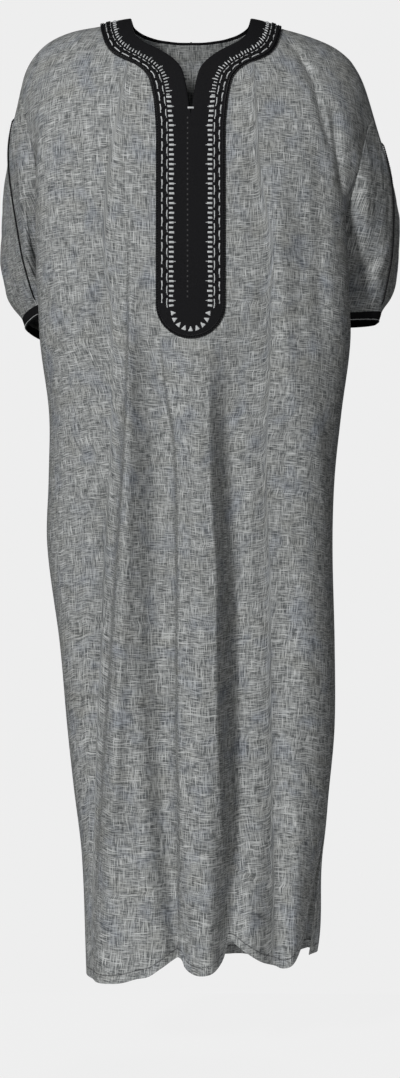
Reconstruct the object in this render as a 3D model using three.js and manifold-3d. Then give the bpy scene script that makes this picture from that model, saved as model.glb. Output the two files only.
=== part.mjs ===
// Kandora, ankle length, worn: an open hollow garment of thin cloth walls.
// Millimetres, +Z up, the front faces -Y, the wearer's right side is at -X.
// The origin lies midway between the two neck points, where the shoulders carry the garment.
import * as THREE from "three";
import Module from "manifold-3d";
import { mergeVertices } from "three/addons/utils/BufferGeometryUtils.js";

// Driving dimensions
const CLOTH = 2; // cloth wall, measured inwards from the outer face
const HALF_SEAM = 0.2; // each piece stops this far short of its seam
const LIFT_OFF = 0.3; // a piece that lies on a panel floats this far above it
const GARMENT_LENGTH = 1350; // neck point to hem
const UNDERARM_DROP = 330; // neck point to underarm
const SLIT_TOP = 1185; // neck point to the top of the side slits
const SHOULDER_ROUND = 170; // height over which the shoulder rounds into chest and back
const BAND_THICK = 1.4;
const BRAID_WIDTH = 5;
const BRAID_THICK = 2.8;
const PIPING_RADIUS = 1.4;

// Grid: columns across a panel, rows from the shoulder to underarm, slit and hem
const COLUMNS = 32;
const CHEST_ROWS = 11;
const SKIRT_ROWS = 14;
const SLIT_ROWS = 3;
const SLEEVE_ROWS = 8;
const COLUMN_BIAS = 0.25; // evens out the column spacing between the middle and the sides

// Two sheets that meet in a valley share their normals fully above one cosine between those
// normals, and not at all below the other
const VALLEY_FLAT = 0.6;
const VALLEY_SHARP = 0;

// Height of the shoulder ridge over distance from the middle, on the right and left shoulder
const RIDGE = [
  { x: 0, right: 2, left: 2 },
  { x: 84, right: 0, left: 0 },
  { x: 128, right: -8, left: -11 },
  { x: 170, right: -16, left: -23 },
  { x: 203, right: -31, left: -37 },
  { x: 225, right: -53, left: -54 },
  { x: 237, right: -76, left: -71 },
  { x: 245, right: -107, left: -87 },
  { x: 252, right: -122, left: -107 },
  { x: 260, right: -140, left: -134 },
];
const RIDGE_BACKWARD = 12; // the shoulder ends sit this far behind the neck points

// Plan sections. drop: depth below the neck point. right, left: x of the panel edge, which is the
// armhole down to the underarm and the side seam below it. edgeFront, edgeBack: y of that edge on
// the front and back panel. turnRight, turnLeft: how far the front wraps round to its edge, in
// degrees, with 90 meaning that it just faces sideways. turnBack: the same for the back panel.
// front, back: reach of the middle of each panel. flat: below 1 squares the back, above 1 pinches it.
const SECTIONS = [
  { drop: 0, right: -244, left: 260, edgeFront: -36, edgeBack: 60, turnRight: 60, turnLeft: 60,
    turnBack: 60, front: 108, back: 112, flat: 0.8 },
  { drop: 40, right: -235, left: 248, edgeFront: -42, edgeBack: 66, turnRight: 66, turnLeft: 64,
    turnBack: 64, front: 110, back: 116, flat: 0.8 },
  { drop: 90, right: -227, left: 241, edgeFront: -46, edgeBack: 71, turnRight: 76, turnLeft: 70,
    turnBack: 68, front: 113, back: 121, flat: 0.8 },
  { drop: 135, right: -219, left: 236, edgeFront: -48, edgeBack: 74, turnRight: 90, turnLeft: 76,
    turnBack: 72, front: 115, back: 124, flat: 0.8 },
  { drop: 220, right: -208, left: 222, edgeFront: -36, edgeBack: 68, turnRight: 106, turnLeft: 88,
    turnBack: 78, front: 119, back: 124, flat: 0.85 },
  { drop: 288, right: -203, left: 214, edgeFront: -10, edgeBack: 42, turnRight: 111, turnLeft: 101,
    turnBack: 84, front: 121, back: 118, flat: 1 },
  { drop: 330, right: -201, left: 211, edgeFront: 14, edgeBack: 14, turnRight: 113, turnLeft: 107,
    turnBack: 88, front: 122, back: 112, flat: 1.15 },
  { drop: 380, right: -206, left: 215, edgeFront: 12, edgeBack: 12, turnRight: 108, turnLeft: 105,
    turnBack: 90, front: 123, back: 104, flat: 1.3 },
  { drop: 454, right: -212, left: 224, edgeFront: 8, edgeBack: 8, turnRight: 97, turnLeft: 97,
    turnBack: 90, front: 124, back: 100, flat: 1.25 },
  { drop: 560, right: -201, left: 213, edgeFront: 6, edgeBack: 6, turnRight: 92, turnLeft: 92,
    turnBack: 90, front: 122, back: 110, flat: 1 },
  { drop: 650, right: -202, left: 204, edgeFront: 5, edgeBack: 5, turnRight: 90, turnLeft: 90,
    turnBack: 90, front: 119, back: 121, flat: 0.85 },
  { drop: 745, right: -204, left: 201, edgeFront: 4, edgeBack: 4, turnRight: 90, turnLeft: 90,
    turnBack: 90, front: 118, back: 120, flat: 0.85 },
  { drop: 887, right: -186, left: 204, edgeFront: 4, edgeBack: 4, turnRight: 90, turnLeft: 90,
    turnBack: 90, front: 119, back: 116, flat: 0.85 },
  { drop: 1000, right: -176, left: 204, edgeFront: 4, edgeBack: 4, turnRight: 90, turnLeft: 90,
    turnBack: 90, front: 120, back: 116, flat: 0.85 },
  { drop: 1085, right: -167, left: 197, edgeFront: 4, edgeBack: 4, turnRight: 90, turnLeft: 90,
    turnBack: 90, front: 122, back: 118, flat: 0.85 },
  { drop: 1185, right: -155, left: 188, edgeFront: 4, edgeBack: 4, turnRight: 90, turnLeft: 90,
    turnBack: 90, front: 124, back: 120, flat: 0.85 },
  { drop: 1350, right: -148, left: 160, edgeFront: 4, edgeBack: 4, turnRight: 90, turnLeft: 90,
    turnBack: 90, front: 126, back: 124, flat: 0.85 },
];
const FRONT_FLAT = 0.8;
const SLIT_PARTING = 13; // each edge of an open slit swings this far out of line at the hem
const SLIT_BACK_FLARE = 9; // and the back one this far outwards

// Height of the worn hem, lifted and dropped by the folds
const FRONT_HEM = [
  { x: -148, z: -1352 },
  { x: -118, z: -1350 },
  { x: -75, z: -1343 },
  { x: -41, z: -1328 },
  { x: -13, z: -1316 },
  { x: 3, z: -1328 },
  { x: 17, z: -1334 },
  { x: 32, z: -1328 },
  { x: 48, z: -1306 },
  { x: 76, z: -1312 },
  { x: 100, z: -1326 },
  { x: 127, z: -1336 },
  { x: 150, z: -1330 },
  { x: 162, z: -1310 },
];
const BACK_HEM = [
  { x: -152, z: -1346 },
  { x: -60, z: -1352 },
  { x: 40, z: -1344 },
  { x: 120, z: -1350 },
  { x: 170, z: -1330 },
];
const HEM_REACH = 320; // the uneven hem fades out this far up

// Folds. They run from drop top to drop bottom through x at the top, the middle and the bottom.
// wide: half-width at the top and bottom. deep: height above the cloth there, negative for a trough.
const HEM = GARMENT_LENGTH;
const FRONT_FOLDS = [
  { name: "centre ridge", top: 420, bottom: HEM, x: [-12, 1, 18], wide: [26, 24], deep: [7, 24] },
  { name: "centre trough", top: 420, bottom: HEM, x: [32, 62, 50], wide: [16, 17], deep: [-8, -24] },
  { name: "ridge beyond it", top: 440, bottom: HEM, x: [72, 86, 92], wide: [20, 20], deep: [7, 10] },
  { name: "side trough", top: 640, bottom: HEM, x: [126, 128, 118], wide: [22, 18], deep: [-5, -10] },
  { name: "right hollow", top: 440, bottom: HEM, x: [-50, -58, -14], wide: [26, 20], deep: [-5, -22] },
  { name: "long right ridge", top: 300, bottom: HEM, x: [-82, -96, -128], wide: [12, 14], deep: [5, 12] },
  { name: "long trough", top: 500, bottom: HEM, x: [-106, -120, -142], wide: [12, 12], deep: [-6, -10] },
  { name: "chest trough", top: 160, bottom: 440, x: [-158, -161, -163], wide: [16, 18], deep: [-5, -5] },
  { name: "belly trough", top: 350, bottom: 520, x: [-100, -101, -104], wide: [12, 14], deep: [-4, -5] },
  { name: "left chest trough", top: 210, bottom: 430, x: [152, 155, 160], wide: [14, 16], deep: [-4, -5] },
  { name: "neck corner crease", top: 20, bottom: 190, x: [136, 180, 202], wide: [8, 11], deep: [-6, -5] },
  { name: "armpit crease", top: 90, bottom: 260, x: [196, 206, 214], wide: [8, 8], deep: [-6, -5] },
  { name: "left side fold", top: 540, bottom: 760, x: [172, 184, 197], wide: [10, 9], deep: [7, 4] },
];
const BACK_FOLDS = [
  { name: "spine hollow", top: 150, bottom: 560, x: [4, -6, 6], wide: [40, 34], deep: [-6, -10] },
  { name: "right blade ridge", top: 170, bottom: 620, x: [-96, -72, -60], wide: [18, 20], deep: [6, 11] },
  { name: "left blade ridge", top: 190, bottom: 600, x: [104, 82, 58], wide: [18, 20], deep: [6, 10] },
  { name: "right skirt ridge", top: 600, bottom: HEM, x: [-112, -104, -96], wide: [24, 24], deep: [6, 15] },
  { name: "right skirt trough", top: 560, bottom: HEM, x: [-64, -62, -52], wide: [20, 20], deep: [-6, -17] },
  { name: "middle skirt ridge", top: 520, bottom: HEM, x: [-14, -8, -6], wide: [24, 24], deep: [6, 18] },
  { name: "middle skirt trough", top: 640, bottom: HEM, x: [34, 38, 42], wide: [20, 19], deep: [-6, -16] },
  { name: "left skirt ridge", top: 580, bottom: HEM, x: [88, 86, 84], wide: [24, 23], deep: [7, 16] },
  { name: "left skirt trough", top: 700, bottom: HEM, x: [140, 134, 124], wide: [18, 16], deep: [-5, -11] },
  { name: "right side trough", top: 760, bottom: HEM, x: [-150, -140, -130], wide: [14, 12], deep: [-5, -9] },
];
const FOLD_EASE = 0.22; // share of a fold's length over which it comes up and dies away

// Sleeve rings between the armhole and the cuff. along: share of the sleeve's length. The other
// columns are places on the ring, round from the overarm seam by the front to the underarm seam
// and by the back up again.
const CUFF_START = 0.95;
const RING_PLACES = { over: 0, front: 80, inner: 130, under: 180, back: 250, outer: 310 };
const SLEEVES = {
  right: {
    side: -1,
    rings: [
      { along: 0.35, over: [-259, 8, -193], front: [-236, -36, -250], inner: [-223, -8, -308],
        under: [-206, 38, -356], back: [-238, 112, -300], outer: [-266, 70, -225] },
      { along: 0.7, over: [-242, 12, -322], front: [-229, 8, -348], inner: [-207, 46, -374],
        under: [-176, 104, -398], back: [-243, 152, -368], outer: [-277, 90, -326] },
      { along: 0.85, over: [-231, 28, -370], front: [-209, 34, -380], inner: [-177, 66, -394],
        under: [-153, 116, -414], back: [-228, 156, -412], outer: [-268, 96, -384] },
      { along: 0.95, over: [-222, 44, -401], front: [-188, 54, -403], inner: [-151, 84, -410],
        under: [-134, 126, -425], back: [-202, 152, -435], outer: [-246, 98, -418] },
      { along: 1, over: [-219, 46, -416], front: [-185, 56, -415], inner: [-148, 84, -422],
        under: [-132, 124, -439], back: [-197, 150, -450], outer: [-240, 98, -433] },
    ],
  },
  left: {
    side: 1,
    rings: [
      { along: 0.35, over: [285, 14, -227], front: [252, -32, -268], inner: [234, -8, -318],
        under: [217, 41, -358], back: [258, 116, -318], outer: [292, 78, -250] },
      { along: 0.7, over: [287, 24, -322], front: [259, 12, -348], inner: [224, 44, -374],
        under: [200, 104, -396], back: [262, 156, -362], outer: [301, 94, -328] },
      { along: 0.85, over: [280, 40, -372], front: [249, 28, -384], inner: [210, 58, -394],
        under: [187, 110, -408], back: [250, 160, -398], outer: [294, 102, -380] },
      { along: 0.95, over: [272, 52, -409], front: [234, 43, -411], inner: [191, 72, -410],
        under: [173, 118, -411], back: [229, 158, -410], outer: [271, 108, -411] },
      { along: 1, over: [267, 53, -423], front: [230, 44, -424], inner: [188, 73, -423],
        under: [171, 118, -425], back: [225, 157, -424], outer: [266, 108, -425] },
    ],
  },
};

// Neck and placket outlines in the front view, from the shoulder inwards and down
const FRONT_NECK = [
  { x: 84, z: 14 },
  { x: 84, z: 0 },
  { x: 83, z: -12 },
  { x: 80.5, z: -25 },
  { x: 74.5, z: -37 },
  { x: 60.5, z: -48 },
  { x: 45, z: -57 },
  { x: 29, z: -68 },
  { x: 19.5, z: -77 },
  { x: 11.5, z: -90 },
  { x: 6.2, z: -112 },
  { x: 1.5, z: -144 },
];
const BAND_EDGE = [
  { x: 128, z: 8 },
  { x: 128, z: -9 },
  { x: 127, z: -22 },
  { x: 124, z: -36 },
  { x: 118.5, z: -52 },
  { x: 110, z: -64 },
  { x: 97, z: -72.5 },
  { x: 80, z: -80 },
  { x: 68, z: -88.5 },
  { x: 59, z: -100 },
  { x: 55, z: -113.5 },
  { x: 51, z: -135 },
  { x: 48, z: -175 },
  { x: 48, z: -257 },
  { x: 48, z: -334 },
];
const PLACKET_ROUND = { radius: 48, z: -414.5 }; // centre height of the round end
const ROUND_STEPS = 8; // facets in a quarter of it
const BACK_NECK = [
  { x: 84, z: 14 },
  { x: 84, z: 0 },
  { x: 76, z: -9 },
  { x: 52, z: -16 },
  { x: 26, z: -20 },
  { x: 0, z: -21 },
];
const BACK_BAND_EDGE = [
  { x: 128, z: 8 },
  { x: 128, z: -8 },
  { x: 118, z: -34 },
  { x: 88, z: -54 },
  { x: 46, z: -64 },
  { x: 0, z: -67 },
];

// Colours of the materials
const GREY_CLOTH = { color: 0x83878a, roughness: 0.95, metalness: 0 };
const BLACK_CLOTH = { color: 0x1b1c1f, roughness: 0.9, metalness: 0 };
const BLACK_CORD = { color: 0x131416, roughness: 0.75, metalness: 0 };

const wasm = await Module();
wasm.setup();

const clamp = (value, low, high) => Math.min(high, Math.max(low, value));
const mix = (a, b, share) => a + (b - a) * share;
const radians = (degrees) => (degrees * Math.PI) / 180;

function smoothstep(share) {
  const s = clamp(share, 0, 1);
  return s * s * (3 - 2 * s);
}

// Value of one column of a table at a place in another, through every row and smooth between them
function tabled(rows, key, at, column) {
  const last = rows.length - 1;
  if (at <= rows[0][key]) return rows[0][column];
  if (at >= rows[last][key]) return rows[last][column];
  const i = rows.findIndex((row) => row[key] > at) - 1;
  const slope = (k) => {
    const before = rows[Math.max(k - 1, 0)];
    const after = rows[Math.min(k + 1, last)];
    return (after[column] - before[column]) / (after[key] - before[key]);
  };
  const span = rows[i + 1][key] - rows[i][key];
  const s = (at - rows[i][key]) / span;
  const start = (1 + 2 * s) * (1 - s) ** 2;
  const leave = s * (1 - s) ** 2 * span;
  const arrive = -(s ** 2) * (1 - s) * span;
  return (
    start * rows[i][column] +
    (1 - start) * rows[i + 1][column] +
    leave * slope(i) +
    arrive * slope(i + 1)
  );
}

// Height of all the folds that cross a place on a panel
function foldHeight(folds, x, drop) {
  let height = 0;
  for (const fold of folds) {
    const s = (drop - fold.top) / (fold.bottom - fold.top);
    if (s <= 0 || s > 1.05) continue;
    const [x0, x1, x2] = fold.x;
    const middle = x0 * (1 - s) * (1 - 2 * s) + 4 * x1 * s * (1 - s) + x2 * s * (2 * s - 1);
    const rise = smoothstep(s / FOLD_EASE);
    const fall = fold.bottom === HEM ? 1 : smoothstep((1 - s) / FOLD_EASE);
    const offset = (x - middle) / mix(fold.wide[0], fold.wide[1], s);
    height += mix(fold.deep[0], fold.deep[1], s) * rise * fall * Math.exp(-offset * offset);
  }
  return height;
}

// One point of a panel's outer face. across runs from -1 at the right edge to 1 at the left edge,
// drop from 0 at the shoulder ridge to the garment's length at the hem.
function panelPoint(isFront, across, drop) {
  const at = (column, depth = drop) => tabled(SECTIONS, "drop", depth, column);
  const isLeft = across > 0;
  const width = Math.abs(across);
  const bent = width * (1 - COLUMN_BIAS) + COLUMN_BIAS * width * width;
  const turnColumn = isFront ? (isLeft ? "turnLeft" : "turnRight") : "turnBack";
  const slit = smoothstep((drop - SLIT_TOP) / (GARMENT_LENGTH - SLIT_TOP));
  const edgeX = (depth) => {
    const flare = isFront ? 0 : SLIT_BACK_FLARE * slit * Math.sign(across);
    return at(isLeft ? "left" : "right", depth) + flare;
  };
  const xAt = (depth) => {
    const turn = radians(at(turnColumn, depth));
    return (edgeX(depth) * Math.sin(bent * turn)) / Math.sin(turn);
  };
  const x = xAt(drop);

  const turn = radians(at(turnColumn));
  const share = (Math.cos(bent * turn) - Math.cos(turn)) / (1 - Math.cos(turn));
  const flat = isFront ? FRONT_FLAT : at("flat");
  const bulge = Math.max(share, 0) ** flat;
  const reach = isFront ? -at("front") : at("back");
  const parting = SLIT_PARTING * slit * (isFront ? -1 : 1);
  const edgeY = at(isFront ? "edgeFront" : "edgeBack") + parting;
  const fold = foldHeight(isFront ? FRONT_FOLDS : BACK_FOLDS, x, drop) * Math.sqrt(Math.max(share, 0));
  const section = edgeY + (reach - edgeY) * bulge + (isFront ? -fold : fold);

  const round = Math.sqrt(1 - (1 - clamp(drop / SHOULDER_ROUND, 0, 1)) ** 2);
  const ridgeX = Math.abs(xAt(0));
  const ridgeY = RIDGE_BACKWARD * (ridgeX / 260);
  const y = mix(ridgeY, section, round);

  const ridgeZ = tabled(RIDGE, "x", ridgeX, isLeft ? "left" : "right");
  const ridgeLift = ridgeZ * Math.max(0, 1 - drop / UNDERARM_DROP);
  const hem = tabled(isFront ? FRONT_HEM : BACK_HEM, "x", x, "z") + GARMENT_LENGTH;
  const hemShare = smoothstep((drop - GARMENT_LENGTH + HEM_REACH) / HEM_REACH);
  return new THREE.Vector3(x, y, -drop + ridgeLift + hem * hemShare);
}

const chestDrop = (row) => UNDERARM_DROP * (row / CHEST_ROWS) ** 1.5;
const DROPS = [];
for (let row = 0; row <= CHEST_ROWS; row++) DROPS.push(chestDrop(row));
for (let row = 1; row <= SKIRT_ROWS; row++) DROPS.push(mix(UNDERARM_DROP, SLIT_TOP, row / SKIRT_ROWS));
for (let row = 1; row <= SLIT_ROWS; row++) DROPS.push(mix(SLIT_TOP, GARMENT_LENGTH, row / SLIT_ROWS));

function panelGrid(isFront) {
  return DROPS.map((drop) => {
    const row = [];
    for (let column = 0; column <= COLUMNS; column++) {
      row.push(panelPoint(isFront, (2 * column) / COLUMNS - 1, drop));
    }
    return row;
  });
}

// The edge of a panel from the shoulder to the underarm, which is one side of the armhole
function armholeEdge(isFront, side) {
  return DROPS.slice(0, CHEST_ROWS + 1).map((drop) => panelPoint(isFront, side, drop));
}

// Place on a ring at an angle in degrees from the overarm seam
function ringPoint(ring, angle) {
  const places = Object.entries(RING_PLACES).map(([place, turn]) => {
    const [x, y, z] = ring[place];
    return { turn, x, y, z };
  });
  const round = [-360, 0, 360].flatMap((full) => places.map((row) => ({ ...row, turn: row.turn + full })));
  return new THREE.Vector3(...["x", "y", "z"].map((axis) => tabled(round, "turn", angle, axis)));
}

// One half of a sleeve, front or back, as rows from the armhole to the end of the cuff
function sleeveGrid(sleeve, isFront) {
  const edge = armholeEdge(isFront, sleeve.side);
  const walked = [0];
  for (let i = 1; i < edge.length; i++) walked.push(walked[i - 1] + edge[i].distanceTo(edge[i - 1]));
  const alongs = [];
  for (let row = 0; row <= SLEEVE_ROWS; row++) alongs.push((CUFF_START * row) / SLEEVE_ROWS);
  alongs.push(1);
  const lines = edge.map((start, i) => {
    const angle = (isFront ? 180 : -180) * (walked[i] / walked[walked.length - 1]);
    const stations = [{ along: 0, point: start }].concat(
      sleeve.rings.map((ring) => ({ along: ring.along, point: ringPoint(ring, angle) })),
    );
    const axes = stations.map(({ along, point }) => ({ along, x: point.x, y: point.y, z: point.z }));
    return alongs.map(
      (along) => new THREE.Vector3(...["x", "y", "z"].map((axis) => tabled(axes, "along", along, axis))),
    );
  });
  return alongs.map((_, row) => lines.map((line) => line[row]));
}

// Outward normals at the points of all sheets. Sheets that meet share them, so that their walls
// abut along the seam, except down a sharp valley, where each wall keeps to its own side.
class Normals {
  constructor() {
    this.places = new Map();
  }
  key(point) {
    return point.toArray().map((value) => Math.round(value * 100)).join(" ");
  }
  addSheet(sheet, grid, flip) {
    const add = (a, b, c) => {
      const normal = b.clone().sub(a).cross(c.clone().sub(a)).multiplyScalar(flip ? -1 : 1);
      for (const point of [a, b, c]) {
        const key = this.key(point);
        if (!this.places.has(key)) this.places.set(key, {});
        const place = this.places.get(key);
        place[sheet] ??= new THREE.Vector3();
        place[sheet].add(normal);
      }
    };
    for (let r = 0; r + 1 < grid.length; r++) {
      for (let c = 0; c + 1 < grid[r].length; c++) {
        add(grid[r][c], grid[r + 1][c], grid[r + 1][c + 1]);
        add(grid[r][c], grid[r + 1][c + 1], grid[r][c + 1]);
      }
    }
  }
  shared(point) {
    const sum = new THREE.Vector3();
    for (const normal of Object.values(this.places.get(this.key(point)))) sum.add(normal);
    return sum.normalize();
  }
  // inwards: direction from the point into its own sheet
  on(sheet, point, inwards) {
    const place = this.places.get(this.key(point));
    const own = place[sheet];
    const sum = own.clone();
    for (const [name, other] of Object.entries(place)) {
      if (name === sheet) continue;
      const isValley = inwards.dot(other) > 0;
      const facing = own.dot(other) / (own.length() * other.length());
      const share = isValley ? smoothstep((facing - VALLEY_SHARP) / (VALLEY_FLAT - VALLEY_SHARP)) : 1;
      sum.addScaledVector(other, share);
    }
    return sum.normalize();
  }
}

// Points moved along the sheet away from its seams, by half a seam gap
function shrunk(grid, wraps) {
  const lastRow = grid.length - 1;
  const lastColumn = grid[0].length - 1;
  return grid.map((row, r) =>
    row.map((point, c) => {
      const moved = point.clone();
      const pull = (neighbour) => {
        moved.addScaledVector(neighbour.clone().sub(point).normalize(), HALF_SEAM);
      };
      if (r === 0) pull(grid[1][c]);
      if (r === lastRow) pull(grid[lastRow - 1][c]);
      if (!wraps && c === 0) pull(row[1]);
      if (!wraps && c === lastColumn) pull(row[lastColumn - 1]);
      return moved;
    }),
  );
}

// Closed wall between two faces over a grid, at two heights above the sheet
function wall(sheet, grid, normals, outer, inner, flip, wraps = false) {
  const points = shrunk(grid, wraps);
  const rows = grid.length;
  const columns = grid[0].length - (wraps ? 1 : 0);
  const middleColumn = Math.floor(columns / 2);
  const positions = [];
  for (const height of [outer, inner]) {
    for (let r = 0; r < rows; r++) {
      for (let c = 0; c < columns; c++) {
        const below = grid[Math.min(r + 1, rows - 1)][c + Math.sign(middleColumn - c)];
        const inwards = below.clone().sub(grid[r][c]);
        const normal = wraps ? normals.shared(grid[r][c]) : normals.on(sheet, grid[r][c], inwards);
        positions.push(...points[r][c].clone().addScaledVector(normal, height).toArray());
      }
    }
  }
  const index = (face, r, c) => face * rows * columns + r * columns + (c % columns);
  const triangles = [];
  const quad = (a, b, c, d) => {
    if (flip) triangles.push(a, c, b, a, d, c);
    else triangles.push(a, b, c, a, c, d);
  };
  const spans = wraps ? columns : columns - 1;
  for (let r = 0; r + 1 < rows; r++) {
    for (let c = 0; c < spans; c++) {
      quad(index(0, r, c), index(0, r + 1, c), index(0, r + 1, c + 1), index(0, r, c + 1));
      quad(index(1, r, c), index(1, r, c + 1), index(1, r + 1, c + 1), index(1, r + 1, c));
    }
  }
  for (let c = 0; c < spans; c++) {
    quad(index(0, 0, c), index(0, 0, c + 1), index(1, 0, c + 1), index(1, 0, c));
    quad(index(0, rows - 1, c + 1), index(0, rows - 1, c), index(1, rows - 1, c), index(1, rows - 1, c + 1));
  }
  if (!wraps) {
    for (let r = 0; r + 1 < rows; r++) {
      const last = columns - 1;
      quad(index(0, r + 1, 0), index(0, r, 0), index(1, r, 0), index(1, r + 1, 0));
      quad(index(0, r, last), index(0, r + 1, last), index(1, r + 1, last), index(1, r, last));
    }
  }
  const geometry = new THREE.BufferGeometry();
  geometry.setAttribute("position", new THREE.Float32BufferAttribute(positions, 3));
  geometry.setIndex(triangles);
  return geometry;
}

function solid(geometry) {
  const bare = geometry.clone();
  bare.deleteAttribute("normal");
  bare.deleteAttribute("uv");
  const merged = mergeVertices(bare, 1e-4);
  const vertProperties = new Float32Array(merged.attributes.position.array);
  const triVerts = new Uint32Array(merged.index.array);
  return new wasm.Manifold(new wasm.Mesh({ numProp: 3, vertProperties, triVerts }));
}

function geometryOf(manifold) {
  const mesh = manifold.getMesh();
  const geometry = new THREE.BufferGeometry();
  geometry.setAttribute("position", new THREE.BufferAttribute(mesh.vertProperties, 3));
  geometry.setIndex(new THREE.BufferAttribute(mesh.triVerts, 1));
  return geometry;
}

// Smooth line through front-view places
function outline(places, divisions) {
  const curve = new THREE.SplineCurve(places.map(({ x, z }) => new THREE.Vector2(x, z)));
  return curve.getPoints(divisions);
}

// The line moved sideways, towards the middle of the garment where inset is positive
function insetLine(line, inset) {
  return line.map((point, i) => {
    const before = line[Math.max(i - 1, 0)];
    const after = line[Math.min(i + 1, line.length - 1)];
    const along = after.clone().sub(before).normalize();
    return new THREE.Vector2(point.x + along.y * inset, point.y - along.x * inset);
  });
}

// Upright prism over a front-view outline given for one half and mirrored to the other
function prism(half, frontY, backY) {
  const mirrored = half.map((point) => new THREE.Vector2(-point.x, point.y)).reverse();
  const shape = new THREE.Shape(half.concat(mirrored));
  const geometry = new THREE.ExtrudeGeometry(shape, { depth: backY - frontY, bevelEnabled: false });
  geometry.rotateX(Math.PI / 2);
  geometry.translate(0, backY, 0);
  return solid(geometry);
}

const ABOVE = 40; // prisms rise this far above the neck points
const MIDLINE = 0.001; // keeps the two halves of an outline apart where they meet

// Inside of the neckline, from the top down to the middle
function neckPrism(places, frontY, backY) {
  const line = outline(places, 24).map((point) => new THREE.Vector2(Math.max(point.x, MIDLINE), point.y));
  return prism([new THREE.Vector2(line[0].x, ABOVE), ...line], frontY, backY);
}

// Outer edge of the front band, moved inwards, with its round end
function bandLine(inset) {
  const line = insetLine(outline(BAND_EDGE, 30), inset);
  const radius = PLACKET_ROUND.radius - inset;
  const round = [];
  for (let step = 0; step < ROUND_STEPS; step++) {
    const angle = (step / ROUND_STEPS) * (Math.PI / 2);
    round.push(new THREE.Vector2(radius * Math.cos(angle), PLACKET_ROUND.z - radius * Math.sin(angle)));
  }
  round.push(new THREE.Vector2(MIDLINE, PLACKET_ROUND.z - radius));
  return [new THREE.Vector2(line[0].x, ABOVE), ...line, ...round];
}

function backBandLine(inset) {
  const line = insetLine(outline(BACK_BAND_EDGE, 16), inset);
  line[line.length - 1].x = MIDLINE;
  return [new THREE.Vector2(line[0].x, ABOVE), ...line];
}

// Round cord along a line of sheet points, resting on the sheet
function cord(line, normals, radius, sides) {
  const rest = line.map((point) => point.clone().addScaledVector(normals.shared(point), radius + LIFT_OFF));
  const positions = [];
  rest.forEach((point, i) => {
    const along = rest[Math.min(i + 1, rest.length - 1)].clone().sub(rest[Math.max(i - 1, 0)]).normalize();
    const across = along.clone().cross(normals.shared(line[i])).normalize();
    const up = across.clone().cross(along);
    for (let side = 0; side < sides; side++) {
      const angle = (2 * Math.PI * side) / sides;
      const place = point.clone().addScaledVector(across, radius * Math.cos(angle));
      positions.push(...place.addScaledVector(up, radius * Math.sin(angle)).toArray());
    }
  });
  const triangles = [];
  for (let i = 0; i + 1 < rest.length; i++) {
    for (let side = 0; side < sides; side++) {
      const a = i * sides + side;
      const b = i * sides + ((side + 1) % sides);
      triangles.push(a, b + sides, b, a, a + sides, b + sides);
    }
  }
  const end = (rest.length - 1) * sides;
  for (let side = 1; side + 1 < sides; side++) {
    triangles.push(0, side, side + 1, end, end + side + 1, end + side);
  }
  const geometry = new THREE.BufferGeometry();
  geometry.setAttribute("position", new THREE.Float32BufferAttribute(positions, 3));
  geometry.setIndex(triangles);
  return geometry;
}

const group = new THREE.Group();
function addPiece(name, geometry, look) {
  const mesh = new THREE.Mesh(geometry, new THREE.MeshStandardMaterial(look));
  mesh.name = name;
  group.add(mesh);
}

// The sheets, and the normals that they share
const frontGrid = panelGrid(true);
const backGrid = panelGrid(false);
const normals = new Normals();
normals.addSheet("front", frontGrid, false);
normals.addSheet("back", backGrid, true);
const sleeveGrids = Object.entries(SLEEVES).map(([name, sleeve]) => {
  const front = sleeveGrid(sleeve, true);
  const back = sleeveGrid(sleeve, false);
  const frontFlip = sleeve.side > 0;
  normals.addSheet(`${name}Front`, front, frontFlip);
  normals.addSheet(`${name}Back`, back, !frontFlip);
  return { name, front, back, frontFlip };
});

// Panels, with the neckline cut through
const FAR_FRONT = -260;
const FAR_BACK = 260;
const frontNeck = neckPrism(FRONT_NECK, FAR_FRONT, FAR_BACK);
const backNeck = neckPrism(BACK_NECK, FAR_FRONT, FAR_BACK);
const frontWall = solid(wall("front", frontGrid, normals, 0, -CLOTH, false));
const backWall = solid(wall("back", backGrid, normals, 0, -CLOTH, true));
addPiece("front_panel", geometryOf(frontWall.subtract(frontNeck)), GREY_CLOTH);
addPiece("back_panel", geometryOf(backWall.subtract(backNeck)), GREY_CLOTH);

// Bands and braids, raised from the panels' own points
const BAND_ROWS = DROPS.findIndex((drop) => drop > 500) + 1;
const BAND_MARGIN = 6; // columns left out at each side, where no band comes
function bandSheet(sheet, grid, rows, thick, flip) {
  const part = grid.slice(0, rows).map((row) => row.slice(BAND_MARGIN, COLUMNS + 1 - BAND_MARGIN));
  return solid(wall(sheet, part, normals, LIFT_OFF + thick, LIFT_OFF, flip));
}
const frontBand = bandSheet("front", frontGrid, BAND_ROWS, BAND_THICK, false);
const frontBraid = bandSheet("front", frontGrid, BAND_ROWS, BRAID_THICK, false);
const backBand = bandSheet("back", backGrid, CHEST_ROWS, BAND_THICK, true);
const backBraid = bandSheet("back", backGrid, CHEST_ROWS, BRAID_THICK, true);
const inside = BRAID_WIDTH + 2 * HALF_SEAM;
const frontOuter = prism(bandLine(0), FAR_FRONT, FAR_BACK);
const frontInner = prism(bandLine(BRAID_WIDTH), FAR_FRONT, FAR_BACK);
const frontBandCut = prism(bandLine(inside), FAR_FRONT, FAR_BACK).subtract(frontNeck);
const backOuter = prism(backBandLine(0), FAR_FRONT, FAR_BACK);
const backInner = prism(backBandLine(BRAID_WIDTH), FAR_FRONT, FAR_BACK);
const backBandCut = prism(backBandLine(inside), FAR_FRONT, FAR_BACK).subtract(backNeck);
addPiece("placket_band", geometryOf(frontBand.intersect(frontBandCut)), BLACK_CLOTH);
addPiece("placket_braid", geometryOf(frontBraid.intersect(frontOuter.subtract(frontInner))), BLACK_CORD);
addPiece("back_neck_band", geometryOf(backBand.intersect(backBandCut)), BLACK_CLOTH);
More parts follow.
